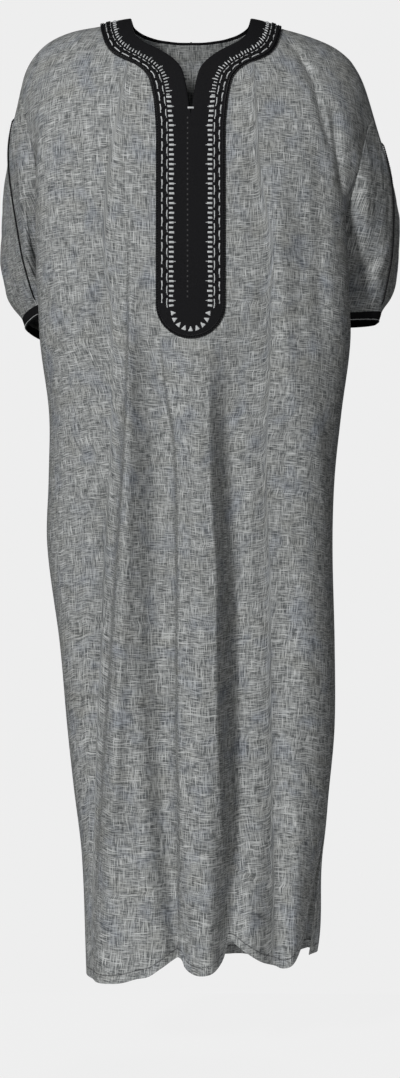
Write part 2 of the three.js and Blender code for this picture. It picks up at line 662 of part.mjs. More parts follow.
addPiece("back_neck_braid", geometryOf(backBraid.intersect(backOuter.subtract(backInner))), BLACK_CORD);

// Sleeves, cuffs and the cord along each overarm seam
for (const { name, front, back, frontFlip } of sleeveGrids) {
  const frontRows = front.slice(0, SLEEVE_ROWS + 1);
  const backRows = back.slice(0, SLEEVE_ROWS + 1);
  const frontHalf = wall(`${name}Front`, frontRows, normals, 0, -CLOTH, frontFlip);
  const backHalf = wall(`${name}Back`, backRows, normals, 0, -CLOTH, !frontFlip);
  addPiece(`${name}_sleeve_front`, frontHalf, GREY_CLOTH);
  addPiece(`${name}_sleeve_back`, backHalf, GREY_CLOTH);
  const cuff = front.slice(SLEEVE_ROWS).map((row, i) => {
    const backRow = back[SLEEVE_ROWS + i];
    return row.concat(backRow.slice(0, -1).reverse());
  });
  addPiece(`${name}_cuff`, wall("cuff", cuff, normals, 0, -CLOTH, frontFlip, true), BLACK_CLOTH);
  const seam = front.slice(1, SLEEVE_ROWS).map((row) => row[0]);
  addPiece(`${name}_piping`, cord(seam, normals, PIPING_RADIUS, 6), BLACK_CORD);
}

export default group;
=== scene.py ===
# A worn kandora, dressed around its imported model: grey slub linen, a black embroidered neck band
# and placket, black cuffs and cord piping. Forms are worked out in millimetres in the model's own
# frame (front at -Y, +Z up, the wearer's right side at -X) and go to Blender in metres.
import math

import bpy
import numpy as np
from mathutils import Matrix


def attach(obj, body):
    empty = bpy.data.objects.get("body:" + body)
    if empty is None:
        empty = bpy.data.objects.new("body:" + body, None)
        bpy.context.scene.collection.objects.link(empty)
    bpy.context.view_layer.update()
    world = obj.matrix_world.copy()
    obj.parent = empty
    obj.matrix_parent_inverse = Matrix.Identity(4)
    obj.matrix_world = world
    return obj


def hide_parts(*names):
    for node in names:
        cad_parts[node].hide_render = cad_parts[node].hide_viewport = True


MM = 0.001

# ---- the cut, as in the model
# Only the front hem's line is drawn more sharply here.
HEM = 1350  # the garment's length
UNDERARM_DROP = 330
SLIT_TOP = 1185
SHOULDER_ROUND = 170
COLUMN_BIAS = 0.25  # draws the columns together towards the middle
CLOTH = 1.2
BAND_LIFT = 0.3
BAND_THICK = 1.4
BRAID_WIDTH = 5

# Height of the shoulder ridge over distance from the middle, on the right and left shoulder
RIDGE = [(0, 2, 2), (84, 0, 0), (128, -8, -11), (170, -16, -23), (203, -31, -37), (225, -53, -54),
         (237, -76, -71), (245, -107, -87), (252, -122, -107), (260, -140, -134)]
RIDGE_BACKWARD = 12

# Plan sections: x of each side edge and its y on front and back, degrees that the cloth turns
# there, reach of front and back, squareness
SECTION_COLUMNS = ("drop", "right", "left", "edge_front", "edge_back",
                   "turn_right", "turn_left", "turn_back", "front", "back", "flat")
SECTIONS = [
    (0, -244, 260, -36, 60, 60, 60, 60, 108, 112, 0.8),
    (40, -235, 248, -42, 66, 66, 64, 64, 110, 116, 0.8),
    (90, -227, 241, -46, 71, 76, 70, 68, 113, 121, 0.8),
    (135, -219, 236, -48, 74, 90, 76, 72, 115, 124, 0.8),
    (220, -208, 222, -36, 68, 106, 88, 78, 119, 124, 0.85),
    (288, -203, 214, -10, 42, 111, 101, 84, 121, 118, 1),
    (330, -201, 211, 14, 14, 113, 107, 88, 122, 112, 1.15),
    (380, -206, 215, 12, 12, 108, 105, 90, 123, 104, 1.3),
    (454, -212, 224, 8, 8, 97, 97, 90, 124, 100, 1.25),
    (560, -201, 213, 6, 6, 92, 92, 90, 122, 110, 1),
    (650, -202, 204, 5, 5, 90, 90, 90, 119, 121, 0.85),
    (745, -204, 201, 4, 4, 90, 90, 90, 118, 120, 0.85),
    (887, -186, 204, 4, 4, 90, 90, 90, 119, 116, 0.85),
    (1000, -176, 204, 4, 4, 90, 90, 90, 120, 116, 0.85),
    (1085, -167, 197, 4, 4, 90, 90, 90, 122, 118, 0.85),
    (1185, -155, 188, 4, 4, 90, 90, 90, 124, 120, 0.85),
    (1350, -148, 160, 4, 4, 90, 90, 90, 126, 124, 0.85),
]
FRONT_FLAT = 0.8
SLIT_PARTING = 13
SLIT_BACK_FLARE = 9
BACK_WRAP_TOP = 1100  # below this drop the back's left edge turns further forward
BACK_WRAP = 22  # by this many degrees at the hem
FRONT_HEM = [(-148, -1352), (-118, -1352), (-98, -1350), (-75, -1343), (-58, -1338), (-41, -1326),
             (-24, -1316), (-13, -1314), (-8, -1326), (3, -1332), (17, -1332), (32, -1328),
             (42, -1319), (47, -1309), (52, -1292), (76, -1306), (100, -1322), (118, -1330),
             (127, -1334), (140, -1331), (148, -1322), (162, -1295)]
BACK_HEM = [(-152, -1346), (-60, -1352), (40, -1344), (120, -1350), (170, -1330)]
HEM_REACH = 320

# Main folds: drop at the top and bottom, x at the top, middle and bottom, half-width at the top
# and bottom, height there (negative for a trough)
FRONT_FOLDS = [
    (420, HEM, (-12, 1, 18), (26, 24), (7, 24)),  # centre ridge
    (420, HEM, (32, 62, 50), (16, 17), (-8, -24)),  # trough left of centre
    (440, HEM, (72, 86, 92), (20, 20), (7, 10)),  # ridge beyond it
    (640, HEM, (126, 128, 118), (22, 18), (-5, -10)),  # side trough
    (440, HEM, (-50, -58, -14), (26, 20), (-5, -22)),  # hollow right of centre
    (300, HEM, (-82, -96, -128), (12, 14), (5, 12)),  # long right ridge
    (500, HEM, (-106, -120, -142), (12, 12), (-6, -10)),  # long right trough
    (160, 440, (-158, -161, -163), (16, 18), (-5, -5)),  # chest trough
    (350, 520, (-100, -101, -104), (12, 14), (-4, -5)),  # belly trough
    (210, 430, (152, 155, 160), (14, 16), (-4, -5)),  # left chest trough
    (20, 190, (136, 180, 202), (8, 11), (-6, -5)),  # neck corner crease
    (90, 260, (196, 206, 214), (8, 8), (-6, -5)),  # armpit crease
    (540, 760, (172, 184, 197), (10, 9), (7, 4)),  # left side fold
]
BACK_FOLDS = [
    (150, 560, (4, -6, 6), (40, 34), (-6, -10)),  # spine hollow
    (170, 620, (-96, -72, -60), (18, 20), (6, 11)),  # right blade ridge
    (190, 600, (104, 82, 58), (18, 20), (6, 10)),  # left blade ridge
    (600, HEM, (-112, -104, -96), (24, 24), (6, 15)),  # right skirt ridge
    (560, HEM, (-64, -62, -52), (20, 20), (-6, -17)),  # right skirt trough
    (520, HEM, (-14, -8, -6), (24, 24), (6, 18)),  # middle skirt ridge
    (640, HEM, (34, 38, 42), (20, 19), (-6, -16)),  # middle skirt trough
    (580, HEM, (88, 86, 84), (24, 23), (7, 16)),  # left skirt ridge
    (700, HEM, (140, 134, 124), (18, 16), (-5, -11)),  # left skirt trough
    (760, HEM, (-150, -140, -130), (14, 12), (-5, -9)),  # right side trough
]
FOLD_EASE = 0.22
FOLD_PAST = 1.05  # a fold that reaches the hem runs on a little past it

# Sleeve rings: share of the sleeve's length, then places round the ring from the overarm seam by
# the front to the underarm seam and by the back up again
CUFF_START = 0.95
SEAM_EASE = 1.5  # draws the columns together at the overarm seam
RING_TURNS = (0, 80, 130, 180, 250, 310)
SLEEVE_RINGS = {
    "right": [
        (0.35, [(-259, 8, -193), (-236, -36, -250), (-223, -8, -308),
                (-206, 38, -356), (-238, 112, -300), (-266, 70, -225)]),
        (0.7, [(-242, 12, -322), (-229, 8, -348), (-207, 46, -374),
               (-176, 104, -398), (-243, 152, -368), (-277, 90, -326)]),
        (0.85, [(-231, 28, -370), (-209, 34, -380), (-177, 66, -394),
                (-153, 116, -414), (-228, 156, -412), (-268, 96, -384)]),
        (0.95, [(-222, 44, -401), (-188, 54, -403), (-151, 84, -410),
                (-134, 126, -425), (-202, 152, -435), (-246, 98, -418)]),
        (1, [(-219, 46, -416), (-185, 56, -415), (-148, 84, -422),
             (-132, 124, -439), (-197, 150, -450), (-240, 98, -433)]),
    ],
    "left": [
        (0.35, [(285, 14, -227), (252, -32, -268), (234, -8, -318),
                (217, 41, -358), (258, 116, -318), (292, 78, -250)]),
        (0.7, [(287, 24, -322), (259, 12, -348), (224, 44, -374),
               (200, 104, -396), (262, 156, -362), (301, 94, -328)]),
        (0.85, [(280, 40, -372), (249, 28, -384), (210, 58, -394),
                (187, 110, -408), (250, 160, -398), (294, 102, -380)]),
        (0.95, [(272, 52, -409), (234, 43, -411), (191, 72, -410),
                (173, 118, -411), (229, 158, -410), (271, 108, -411)]),
        (1, [(267, 53, -423), (230, 44, -424), (188, 73, -423),
             (171, 118, -425), (225, 157, -424), (266, 108, -425)]),
    ],
}
SIDES = {"right": -1, "left": 1}

# Lines straight across the band from the shoulder to the middle: x and z of the outer edge, then
# x and z of the neckline, the slit or the middle line that it runs to
PLACKET_HALF = 48
ROUND_CENTRE = -414.5
BAND_LINES = 400  # lines worked out between the crossings, and round the placket's end
ROUND_LINES = 60
MIDDLE_NEAR = 0.25  # anything nearer to the middle line lies on it
FRONT_CROSSINGS = [
    (128, -9, 84, 0), (127, -22, 83.4, -8), (124, -36, 82.6, -15), (118.5, -52, 81.5, -21),
    (110, -64, 80, -26.5), (97, -72.5, 75, -36), (80, -80, 63, -46.5), (68, -88.5, 45, -57),
    (63.2, -94, 32.5, -65.5), (59, -100, 21.5, -75), (56.8, -106.5, 13.2, -86.5),
    (55, -113.5, 8.8, -99.5), (52.8, -124.5, 4.6, -121), (51, -135, 2.2, -138),
    (49.3, -155, 0.2, -154), (PLACKET_HALF, -175, 0.2, -175), (PLACKET_HALF, -257, 0.2, -257),
    (PLACKET_HALF, -334, 0.2, -334), (PLACKET_HALF, ROUND_CENTRE, 0.2, ROUND_CENTRE),
]
BACK_CROSSINGS = [
    (128, -9, 84, 0), (126, -21, 80, -6), (118, -34, 68, -12), (103, -45, 56, -15.5),
    (88, -54, 44, -18), (46, -64, 22, -20.5), (22, -66.5, 10, -21), (0.2, -67, 0.2, -21),
]


# ---- numbers
def smooth(share):
    s = np.clip(share, 0, 1)
    return s * s * (3 - 2 * s)


def unit(vectors):
    return vectors / np.maximum(np.linalg.norm(vectors, axis=-1, keepdims=True), 1e-12)


def distances(points, axis=0):
    """Distance of each point from the first, along the line of points."""
    walked = np.cumsum(np.linalg.norm(np.diff(points, axis=axis), axis=-1), axis=axis)
    return np.concatenate([np.zeros_like(np.take(walked, [0], axis)), walked], axis)


def weights(keys, at):
    """Matrix that takes values at the keys to values at other places, smoothly."""
    keys = np.asarray(keys, float)
    at = np.clip(np.asarray(at, float), keys[0], keys[-1])
    last = len(keys) - 1
    i = np.clip(np.searchsorted(keys, at, side="right") - 1, 0, last - 1)
    span = keys[i + 1] - keys[i]
    s = (at - keys[i]) / span
    start = (1 + 2 * s) * (1 - s) ** 2
    matrix = np.zeros((at.size, last + 1))
    rows = np.arange(at.size)
    matrix[rows, i] += start
    matrix[rows, i + 1] += 1 - start
    for k, tangent in ((i, s * (1 - s) ** 2 * span), (i + 1, -s * s * (1 - s) * span)):
        before, after = np.maximum(k - 1, 0), np.minimum(k + 1, last)
        slope = tangent / (keys[after] - keys[before])
        np.add.at(matrix, (rows, after), slope)
        np.add.at(matrix, (rows, before), -slope)
    return matrix


def tabled(rows, at, column=1):
    """One column of a table at places in its first column."""
    at = np.asarray(at, float)
    values = np.array([row[column] for row in rows], float)
    return (weights([row[0] for row in rows], at.ravel()) @ values).reshape(at.shape)


def section(name, drop):
    return tabled(SECTIONS, drop, SECTION_COLUMNS.index(name))


def fold_height(folds, x, drop):
    height = np.zeros(np.broadcast(x, drop).shape)
    for top, bottom, (x0, x1, x2), wide, deep in folds:
        s = (drop - top) / (bottom - top)
        middle = x0 * (1 - s) * (1 - 2 * s) + 4 * x1 * s * (1 - s) + x2 * s * (2 * s - 1)
        rise = smooth(s / FOLD_EASE)
        fall = 1 if bottom == HEM else smooth((1 - s) / FOLD_EASE)
        offset = (x - middle) / (wide[0] + (wide[1] - wide[0]) * s)
        here = (deep[0] + (deep[1] - deep[0]) * s) * rise * fall * np.exp(-offset * offset)
        height += np.where((s > 0) & (s <= FOLD_PAST), here, 0)
    return height


# ---- panels
def sided(name, across, drop):
    """What the sections give on the side that across lies on."""
    return np.where(across > 0, section(name + "left", drop), section(name + "right", drop))


def column_turn(is_front, across, drop):
    if not is_front:
        share = smooth((drop - BACK_WRAP_TOP) / (HEM - BACK_WRAP_TOP))
        return np.radians(section("turn_back", drop) + np.where(across > 0, BACK_WRAP * share, 0))
    return np.radians(sided("turn_", across, drop))


def panel_x(is_front, across, drop, slit):
    flare = np.where(across > 0, 0 if is_front else SLIT_BACK_FLARE * slit, 0)
    edge = sided("", across, drop) + flare
    width = np.abs(across)
    bent = width * (1 - COLUMN_BIAS) + COLUMN_BIAS * width * width
    turn = column_turn(is_front, across, drop)
    return edge * np.sin(bent * turn) / np.sin(turn), bent * turn, turn


def panel_points(is_front, across, drop, extra=0):
    """Outer face of a panel, across from -1 to 1 and drop in mm, as an array of points."""
    across, drop = np.broadcast_arrays(np.asarray(across, float), np.asarray(drop, float))
    slit = smooth((drop - SLIT_TOP) / (HEM - SLIT_TOP))
    x, angle, turn = panel_x(is_front, across, drop, slit)
    share = np.maximum((np.cos(angle) - np.cos(turn)) / (1 - np.cos(turn)), 0)
    flat = FRONT_FLAT if is_front else section("flat", drop)
    reach = -section("front", drop) if is_front else section("back", drop)
    outward = -1 if is_front else 1
    edge_y = section("edge_front" if is_front else "edge_back", drop)
    edge_y = edge_y + outward * SLIT_PARTING * slit
    folds = FRONT_FOLDS if is_front else BACK_FOLDS
    fold = fold_height(folds, x, drop) * np.sqrt(share) + extra
    y = edge_y + (reach - edge_y) * share**flat + outward * fold

    round_share = np.sqrt(1 - (1 - np.clip(drop / SHOULDER_ROUND, 0, 1)) ** 2)
    ridge_x = np.abs(panel_x(is_front, across, np.zeros_like(drop), slit)[0])
    ridge_y = RIDGE_BACKWARD * ridge_x / RIDGE[-1][0]
    y = ridge_y + (y - ridge_y) * round_share
    ridge_z = np.where(across > 0, tabled(RIDGE, ridge_x, 2), tabled(RIDGE, ridge_x, 1))
    lift = ridge_z * np.maximum(0, 1 - drop / UNDERARM_DROP)
    hem = tabled(FRONT_HEM if is_front else BACK_HEM, x) + HEM
    hem_share = smooth((drop - HEM + HEM_REACH) / HEM_REACH)
    return np.stack([x, y, -drop + lift + hem * hem_share], -1)


def sleeve_points(side, is_front, columns, rows):
    """Outer face of half a sleeve, a row of points for each share of its length."""
    drop = UNDERARM_DROP * np.linspace(0, 1, columns) ** SEAM_EASE
    edge = panel_points(is_front, float(SIDES[side]), drop)
    walked = distances(edge)
    turn = (180 if is_front else -180) * walked / walked[-1]
    turns = [t + full for full in (-360, 0, 360) for t in RING_TURNS]
    round_matrix = weights(turns, turn)
    rings = SLEEVE_RINGS[side]
    stations = [edge] + [round_matrix @ np.array(ring * 3, float) for _, ring in rings]
    along = weights([0] + [share for share, _ in rings], rows)
    return np.einsum("rs,sck->rck", along, np.array(stations))


def across_at(is_front, x, drop):
    """Place of x between the panel's edges, from -1 to 1."""
    x, drop = np.broadcast_arrays(np.asarray(x, float), np.asarray(drop, float))
    side = np.where(x < 0, -1.0, 1.0)
    turn = column_turn(is_front, side, drop)
    bent = np.arcsin(np.clip(x * np.sin(turn) / sided("", side, drop), 0, 1)) / turn
    root = np.sqrt((1 - COLUMN_BIAS) ** 2 + 4 * COLUMN_BIAS * bent)
    return side * (root - 1 + COLUMN_BIAS) / (2 * COLUMN_BIAS)


# Steps to the neighbours that give a normal: mm down, and across as a share of the half breadth
STEP_DOWN = 0.5
STEP_ACROSS = STEP_DOWN / 300
LEAST_DROP = 0.05
SEARCH_STEPS = 6


def surface(is_front, x, drop):
    """Points of a panel at x and drop, with the outward normals there."""
    across = across_at(is_front, x, drop)
    drop = np.maximum(drop, LEAST_DROP)
    point = panel_points(is_front, across, drop)
    below = panel_points(is_front, across, drop + STEP_DOWN) - point
    beside = panel_points(is_front, across + STEP_ACROSS, drop) - point
    return point, unit(np.cross(below, beside) * (1 if is_front else -1))


def drop_at(is_front, x, z):
    """Drop of the panel's point that lies at x, z in the front view."""
    drop = -np.asarray(z, float)
    for _ in range(SEARCH_STEPS):
        drop = np.maximum(drop + surface(is_front, x, drop)[0][..., 2] - z, 0)
    return drop


class Band:
    """Half of a neck band: places by distance along its outer edge and inwards from it."""

    def __init__(self, is_front):
        self.is_front = is_front
        rows = np.array(FRONT_CROSSINGS if is_front else BACK_CROSSINGS, float)
        lines = weights(range(len(rows)), np.linspace(0, len(rows) - 1, BAND_LINES)) @ rows
        if is_front:
            angle = np.linspace(0, math.pi / 2, ROUND_LINES)[1:]
            x, z = PLACKET_HALF * np.cos(angle), ROUND_CENTRE - PLACKET_HALF * np.sin(angle)
            round_end = np.stack([x, z, x * 0, x * 0 + ROUND_CENTRE], -1)
            lines = np.concatenate([lines, round_end])
        lines[:, (0, 2)] = np.where(lines[:, (0, 2)] < MIDDLE_NEAR, 0, lines[:, (0, 2)])
        self.outer, self.inner = (
            np.stack([lines[:, x], drop_at(is_front, lines[:, x], lines[:, z])], -1)
            for x, z in ((0, 1), (2, 3)))
        self.along = distances(self.outer)
        self.length = self.along[-1]

    def at(self, values, along):
        return np.stack([np.interp(along, self.along, column) for column in values.T], -1)

    def width(self, along):
        return np.linalg.norm(self.at(self.inner, along) - self.at(self.outer, along), axis=-1)

    def place(self, side, along, inset, lift):
        """Point and normal at a height above the panel. side is -1 for the wearer's right."""
        along, inset, lift = np.broadcast_arrays(along, inset, lift)
        outer, inner = self.at(self.outer, along), self.at(self.inner, along)
        share = (inset / np.linalg.norm(inner - outer, axis=-1))[..., None]
        flat = outer + (inner - outer) * share
        point, normal = surface(self.is_front, side * flat[..., 0], flat[..., 1])
        return point + normal * lift[..., None], normal


# ---- relief
RUMPLE_GRID = 64
RUMPLE_FROM = (31.3, 17.7)
# Rumples of the cloth, broad, narrow and fine: height, size of the waves both ways, and seed
RUMPLES = {
    "front": ((2.4, 34, 170, 3), (1.0, 15, 60, 5), (0.35, 9, 14, 8)),
    "back": ((1.6, 36, 160, 13), (0.7, 16, 55, 15), (0.35, 9, 14, 18)),
    "sleeve": ((2.0, 42, 60, 0), (0.9, 18, 30, 3), (0.35, 8, 12, 5)),
}
SHOULDER_CALM = {"front": (120, 200), "back": (90, 160)}  # the broad ones' start and growth
SIDE_X = 200  # the front's narrow rumples are twice as high here as in the middle
CREASE_END = 0.2


def rumple(u, v, wave_u, wave_v, seed):
    """Smooth hand-crumpled height between -1 and 1 over a cut, with waves of the given sizes."""
    grid = np.random.default_rng(seed).uniform(-1, 1, (RUMPLE_GRID, RUMPLE_GRID))
    u, v = np.asarray(u) / wave_u + RUMPLE_FROM[0], np.asarray(v) / wave_v + RUMPLE_FROM[1]
    i, j = np.floor(u).astype(int), np.floor(v).astype(int)
    a, b = smooth(u - i), smooth(v - j)

    def corner(right, down):
        return grid[(i + right) % RUMPLE_GRID, (j + down) % RUMPLE_GRID]

    top = corner(0, 0) * (1 - a) + corner(1, 0) * a
    bottom = corner(0, 1) * (1 - a) + corner(1, 1) * a
    return top * (1 - b) + bottom * b


def rumples(kind, u, v, seed=0):
    return [high * rumple(u, v, wave_u, wave_v, seed + more)
            for high, wave_u, wave_v, more in RUMPLES[kind]]


def crease_height(creases, x, drop):
    """Soft creases, each along a bowed line from one place to another."""
    height = np.zeros(np.broadcast(x, drop).shape)
    for x0, drop0, x1, drop1, bow, wide, deep in creases:
        along = np.array([x1 - x0, drop1 - drop0], float)
        length = np.linalg.norm(along)
        along /= length
        s = ((x - x0) * along[0] + (drop - drop0) * along[1]) / length
        off = (x - x0) * -along[1] + (drop - drop0) * along[0] - bow * 4 * s * (1 - s)
        ends = smooth(s / CREASE_END) * smooth((1 - s) / CREASE_END)
        height += deep * ends * np.exp(-((off / wide) ** 2))
    return height


def pleat_height(x, drop):
    """Folds with one sharp edge: the cloth rises to it, drops past it and comes back gently."""
    height = np.zeros(np.broadcast(x, drop).shape)
    for side, wall, lip, rows in FRONT_PLEATS:
        edge, deep, reach = (tabled(rows, drop, column) for column in (1, 2, 3))
        past = side * (x - edge)
        t = np.clip(past / wall, 0, 1)
        down = sum(part * t**power for power, part in enumerate(PLEAT_WALL, 1))
        rise = np.clip(1 + past / PLEAT_RAMP, 0, 1) ** PLEAT_SWELL * (1 - down)
        height += deep * (lip * rise - down * (1 - smooth((past - wall) / reach)))
    return height


def panel_relief(is_front, x, drop):
    """Height of the folds, creases and rumples that lie on a panel's main form."""
    kind = "front" if is_front else "back"
    broad, narrow, fine = rumples(kind, x, drop)
    start, length = SHOULDER_CALM[kind]
    relief = broad * smooth((drop - start) / length) + fine
    if is_front:
        relief += fold_height(FRONT_SOFT, x, drop) + crease_height(FRONT_CREASES, x, drop)
        return relief + pleat_height(x, drop) + narrow * (0.5 + 0.5 * np.abs(x) / SIDE_X)
    return relief + fold_height(BACK_SOFT, x, drop) + crease_height(BACK_CREASES, x, drop) + narrow


# ---- meshes
SHARP_ANGLE = 65
STRANDS = 2
STRAND_SIDES = 6


def grid_normals(grid, sign):
    return unit(np.cross(np.gradient(grid, axis=0), np.gradient(grid, axis=1)) * sign)


def linked(name, data):
    thing = bpy.data.objects.new(name, data)
    bpy.context.collection.objects.link(thing)
    return thing


def shell(outer, inner, flip):
    """Vertices and faces of a closed shell between two grids of points."""
    rows, columns = outer.shape[:2]
    index = np.arange(rows * columns).reshape(rows, columns)
    quads = [index[:-1, :-1], index[1:, :-1], index[1:, 1:], index[:-1, 1:]]
    front = np.stack(quads, -1).reshape(-1, 4)
    rim = np.concatenate([index[0, ::-1], index[1:, 0], index[-1, 1:], index[-2:0:-1, -1]])
    after = np.roll(rim, -1)
    below = rows * columns
    edge = np.stack([after, rim, rim + below, after + below], -1)
    faces = np.concatenate([front, front[:, ::-1] + below, edge])
    vertices = np.concatenate([outer.reshape(-1, 3), inner.reshape(-1, 3)])
    return vertices, faces[:, ::-1] if flip else faces


def sheet(grid, sign, cut):
    """Thin shell with its outer face on the grid, and the place of its points on the flat cloth."""
    inner = grid - grid_normals(grid, sign) * CLOTH
    return *shell(grid, inner, sign < 0), np.concatenate([cut.reshape(-1, 3)] * 2)


def rope(path, normal, reach, radius, pitch, twist=1):
    """Strands twisted round each other along a path on a surface, tapered at both ends."""
    walked = distances(path)
    tangent = unit(np.gradient(path, axis=0))
    across = unit(np.cross(tangent, normal))
    up = np.cross(across, tangent)
    to_end = np.minimum(walked, walked[-1] - walked)
    radius = radius * np.sqrt(np.clip(to_end / (2 * radius), 0, 1))[:, None, None]
    turn = (np.arange(STRAND_SIDES) * 2 * math.pi / STRAND_SIDES)[None, :, None]
    around = np.cos(turn) * across[:, None] + np.sin(turn) * up[:, None]
    i = np.arange(len(path) - 1)[:, None] * STRAND_SIDES
    j = np.arange(STRAND_SIDES)[None, :]
    k = (j + 1) % STRAND_SIDES
    faces = np.stack([i + j, i + j + STRAND_SIDES, i + k + STRAND_SIDES, i + k], -1).reshape(-1, 4)
    parts = []
    for strand in range(STRANDS):
        phase = (twist * 2 * math.pi * walked / pitch + 2 * math.pi * strand / STRANDS)[:, None]
        centre = path + reach * (np.cos(phase) * across + np.sin(phase) * up)
        parts.append(((centre[:, None] + radius * around).reshape(-1, 3), faces))
    return joined(parts)


def joined(parts):
    """One list of vertices and faces from several."""
    starts = np.cumsum([0] + [len(vertices) for vertices, _ in parts])
    vertices = np.concatenate([vertices for vertices, _ in parts])
    return vertices, np.concatenate([faces + start for (_, faces), start in zip(parts, starts)])


def lengthwise(count, first=-1):
    """Even places from first to 1 along the length of every stitch of a set."""
    return np.linspace(first, 1, count)[None, :, None]


def breadthwise(count):
    return np.linspace(-1, 1, count)[None, None, :]


def pads(place, along, inset, height):
    """Raised stitches. along and inset are (stitch, long, wide) places on a band, domed upwards."""
    count, long, wide = np.broadcast(along, inset).shape
    dome = (1 - np.abs(lengthwise(long)) ** 4) * np.sqrt(np.maximum(1 - breadthwise(wide) ** 2, 0))
    points, _ = place(along, inset, BAND_TOP + height * dome)
    first = (np.arange(count) * long * wide)[:, None, None]
    i = np.arange(long - 1)[None, :, None] * wide + first
    j = np.arange(wide - 1)[None, None, :]
    faces = np.stack([i + j, i + j + 1, i + j + 1 + wide, i + j + wide], -1).reshape(-1, 4)
    return points.reshape(-1, 3), faces


# ---- materials
class Look:
    """A material under construction: its node tree, with short ways to add nodes."""

    def __init__(self, name, roughness, **shader_values):
        self.material = bpy.data.materials.new(name)
        self.material.use_nodes = True
        self.nodes = self.material.node_tree.nodes
        self.shader = self.nodes["Principled BSDF"]
        self.shader.inputs["Roughness"].default_value = roughness
        for socket, value in shader_values.items():
            self.shader.inputs[socket.replace("_", " ")].default_value = value

    def link(self, source, target):
        self.material.node_tree.links.new(source, target)

    def add(self, kind, **inputs):
        node = self.nodes.new(kind)
        for name, value in inputs.items():
            socket = node.inputs[int(name[1:]) if name[0] == "i" and name[1:].isdigit() else name]
            if isinstance(value, bpy.types.NodeSocket):
                self.link(value, socket)
            else:
                socket.default_value = value
        return node

    def math(self, operation, a, b=0.0):
        node = self.add("ShaderNodeMath", i0=a, i1=b)
        node.operation = operation
        return node.outputs[0]

    def scaled(self, vector, size):
        """Coordinates in units of the given sizes along each axis."""
        node = self.add("ShaderNodeVectorMath", i0=vector, i1=tuple(1 / s for s in size))
        node.operation = "MULTIPLY"
        return node.outputs[0]

    def noise(self, vector, size, detail=2.0, roughness=0.5):
        node = self.add("ShaderNodeTexNoise", Vector=self.scaled(vector, size), Scale=1.0,
                        Detail=detail, Roughness=roughness)
        return node.outputs["Fac"]

    def ramp(self, value, low, high, to_low=0.0, to_high=1.0):
        node = self.add("ShaderNodeMapRange", Value=value)
        limits = {"From Min": low, "From Max": high, "To Min": to_low, "To Max": to_high}
        for name, number in limits.items():
            node.inputs[name].default_value = number
        return node.outputs[0]

    def blend(self, share, a, b):
        node = self.nodes.new("ShaderNodeMix")
        node.data_type = "RGBA"
        for index, value in ((0, share), (6, a), (7, b)):
            if isinstance(value, bpy.types.NodeSocket):
                self.link(value, node.inputs[index])
            else:
                node.inputs[index].default_value = value if index == 0 else (*value, 1)
        return node.outputs[2]

    def colour(self, source):
        self.link(source, self.shader.inputs["Base Color"])

    def bump(self, height, distance, strength=1.0):
        node = self.add("ShaderNodeBump", Height=height, Distance=distance, Strength=strength)
        self.link(node.outputs["Normal"], self.shader.inputs["Normal"])


# Sizes of the linen's threads, slubs and drifts of tone, in mm along the weft and the warp of the
# cut and over the distance to a sewn edge
WEFT_THREAD = (14, 1.15, 50)
WARP_THREAD = (1.15, 16, 50)
WEFT_SLUB = (19, 1.25, 50)
WARP_SLUB = (1.25, 23, 50)
WEAVE_DRIFT = (26, 22, 50)
COOL_DRIFT = (34, 46, 50)
WARM_DRIFT = (52, 38, 50)
STITCH_BREAK = (2.2, 2.2, 50)
MIRRORED = (-1, 1, 1)


def linen_look():
    """Grey slub linen: uneven light and dark threads both ways, with faint cool and warm drifts."""
    look = Look("grey_slub_linen", 0.95, Specular_IOR_Level=0.15)
    cut = look.add("ShaderNodeAttribute")
    cut.attribute_name = "cut"
    cut = cut.outputs["Vector"]
    weft = look.noise(cut, WEFT_THREAD, 3.0, 0.6)
    warp = look.noise(cut, WARP_THREAD, 3.0, 0.6)
    lean = look.ramp(look.noise(cut, WEAVE_DRIFT, 1.0), 0.38, 0.62)
    threads = look.math("ADD", look.math("MULTIPLY", weft, look.ramp(lean, 0, 1, 1.25, 0.55)),
                        look.math("MULTIPLY", warp, look.ramp(lean, 0, 1, 0.55, 1.25)))
    slub_weft = look.ramp(look.noise(cut, WEFT_SLUB, 1.0), 0.57, 0.67)
    slub_warp = look.ramp(look.noise(cut, WARP_SLUB, 1.0), 0.58, 0.68)
    slubs = look.math("MAXIMUM", slub_weft, slub_warp)
    shade = look.ramp(threads, 0.79, 1.02)
    base = look.blend(shade, LINEN_DARK, LINEN_LIGHT)
    base = look.blend(look.math("MULTIPLY", slubs, 0.75), base, LINEN_SLUB)
    cool = look.ramp(look.noise(cut, COOL_DRIFT, 2.0), 0.5, 0.72, 0, 0.5)
    warm = look.ramp(look.noise(look.scaled(cut, MIRRORED), WARM_DRIFT, 2.0), 0.5, 0.74, 0, 0.42)
    base = look.blend(cool, base, look.blend(shade, LINEN_COOL_DARK, LINEN_COOL_LIGHT))
    base = look.blend(warm, base, look.blend(shade, LINEN_WARM_DARK, LINEN_WARM_LIGHT))
    edge = look.add("ShaderNodeSeparateXYZ", Vector=cut).outputs["Z"]
    offset = look.math("ABSOLUTE", look.math("SUBTRACT", edge, STITCH_INSET))
    stitch = look.ramp(offset, 0.5, 1.3, 0.75, 0)
    broken = look.ramp(look.noise(cut, STITCH_BREAK, 0.0), 0.3, 0.45)
    base = look.blend(look.math("MULTIPLY", stitch, broken), base, STITCH_COLOUR)
    look.colour(base)
    look.bump(look.math("ADD", threads, look.math("MULTIPLY", slubs, 0.5)), 0.00035, 0.7)
    return look.material


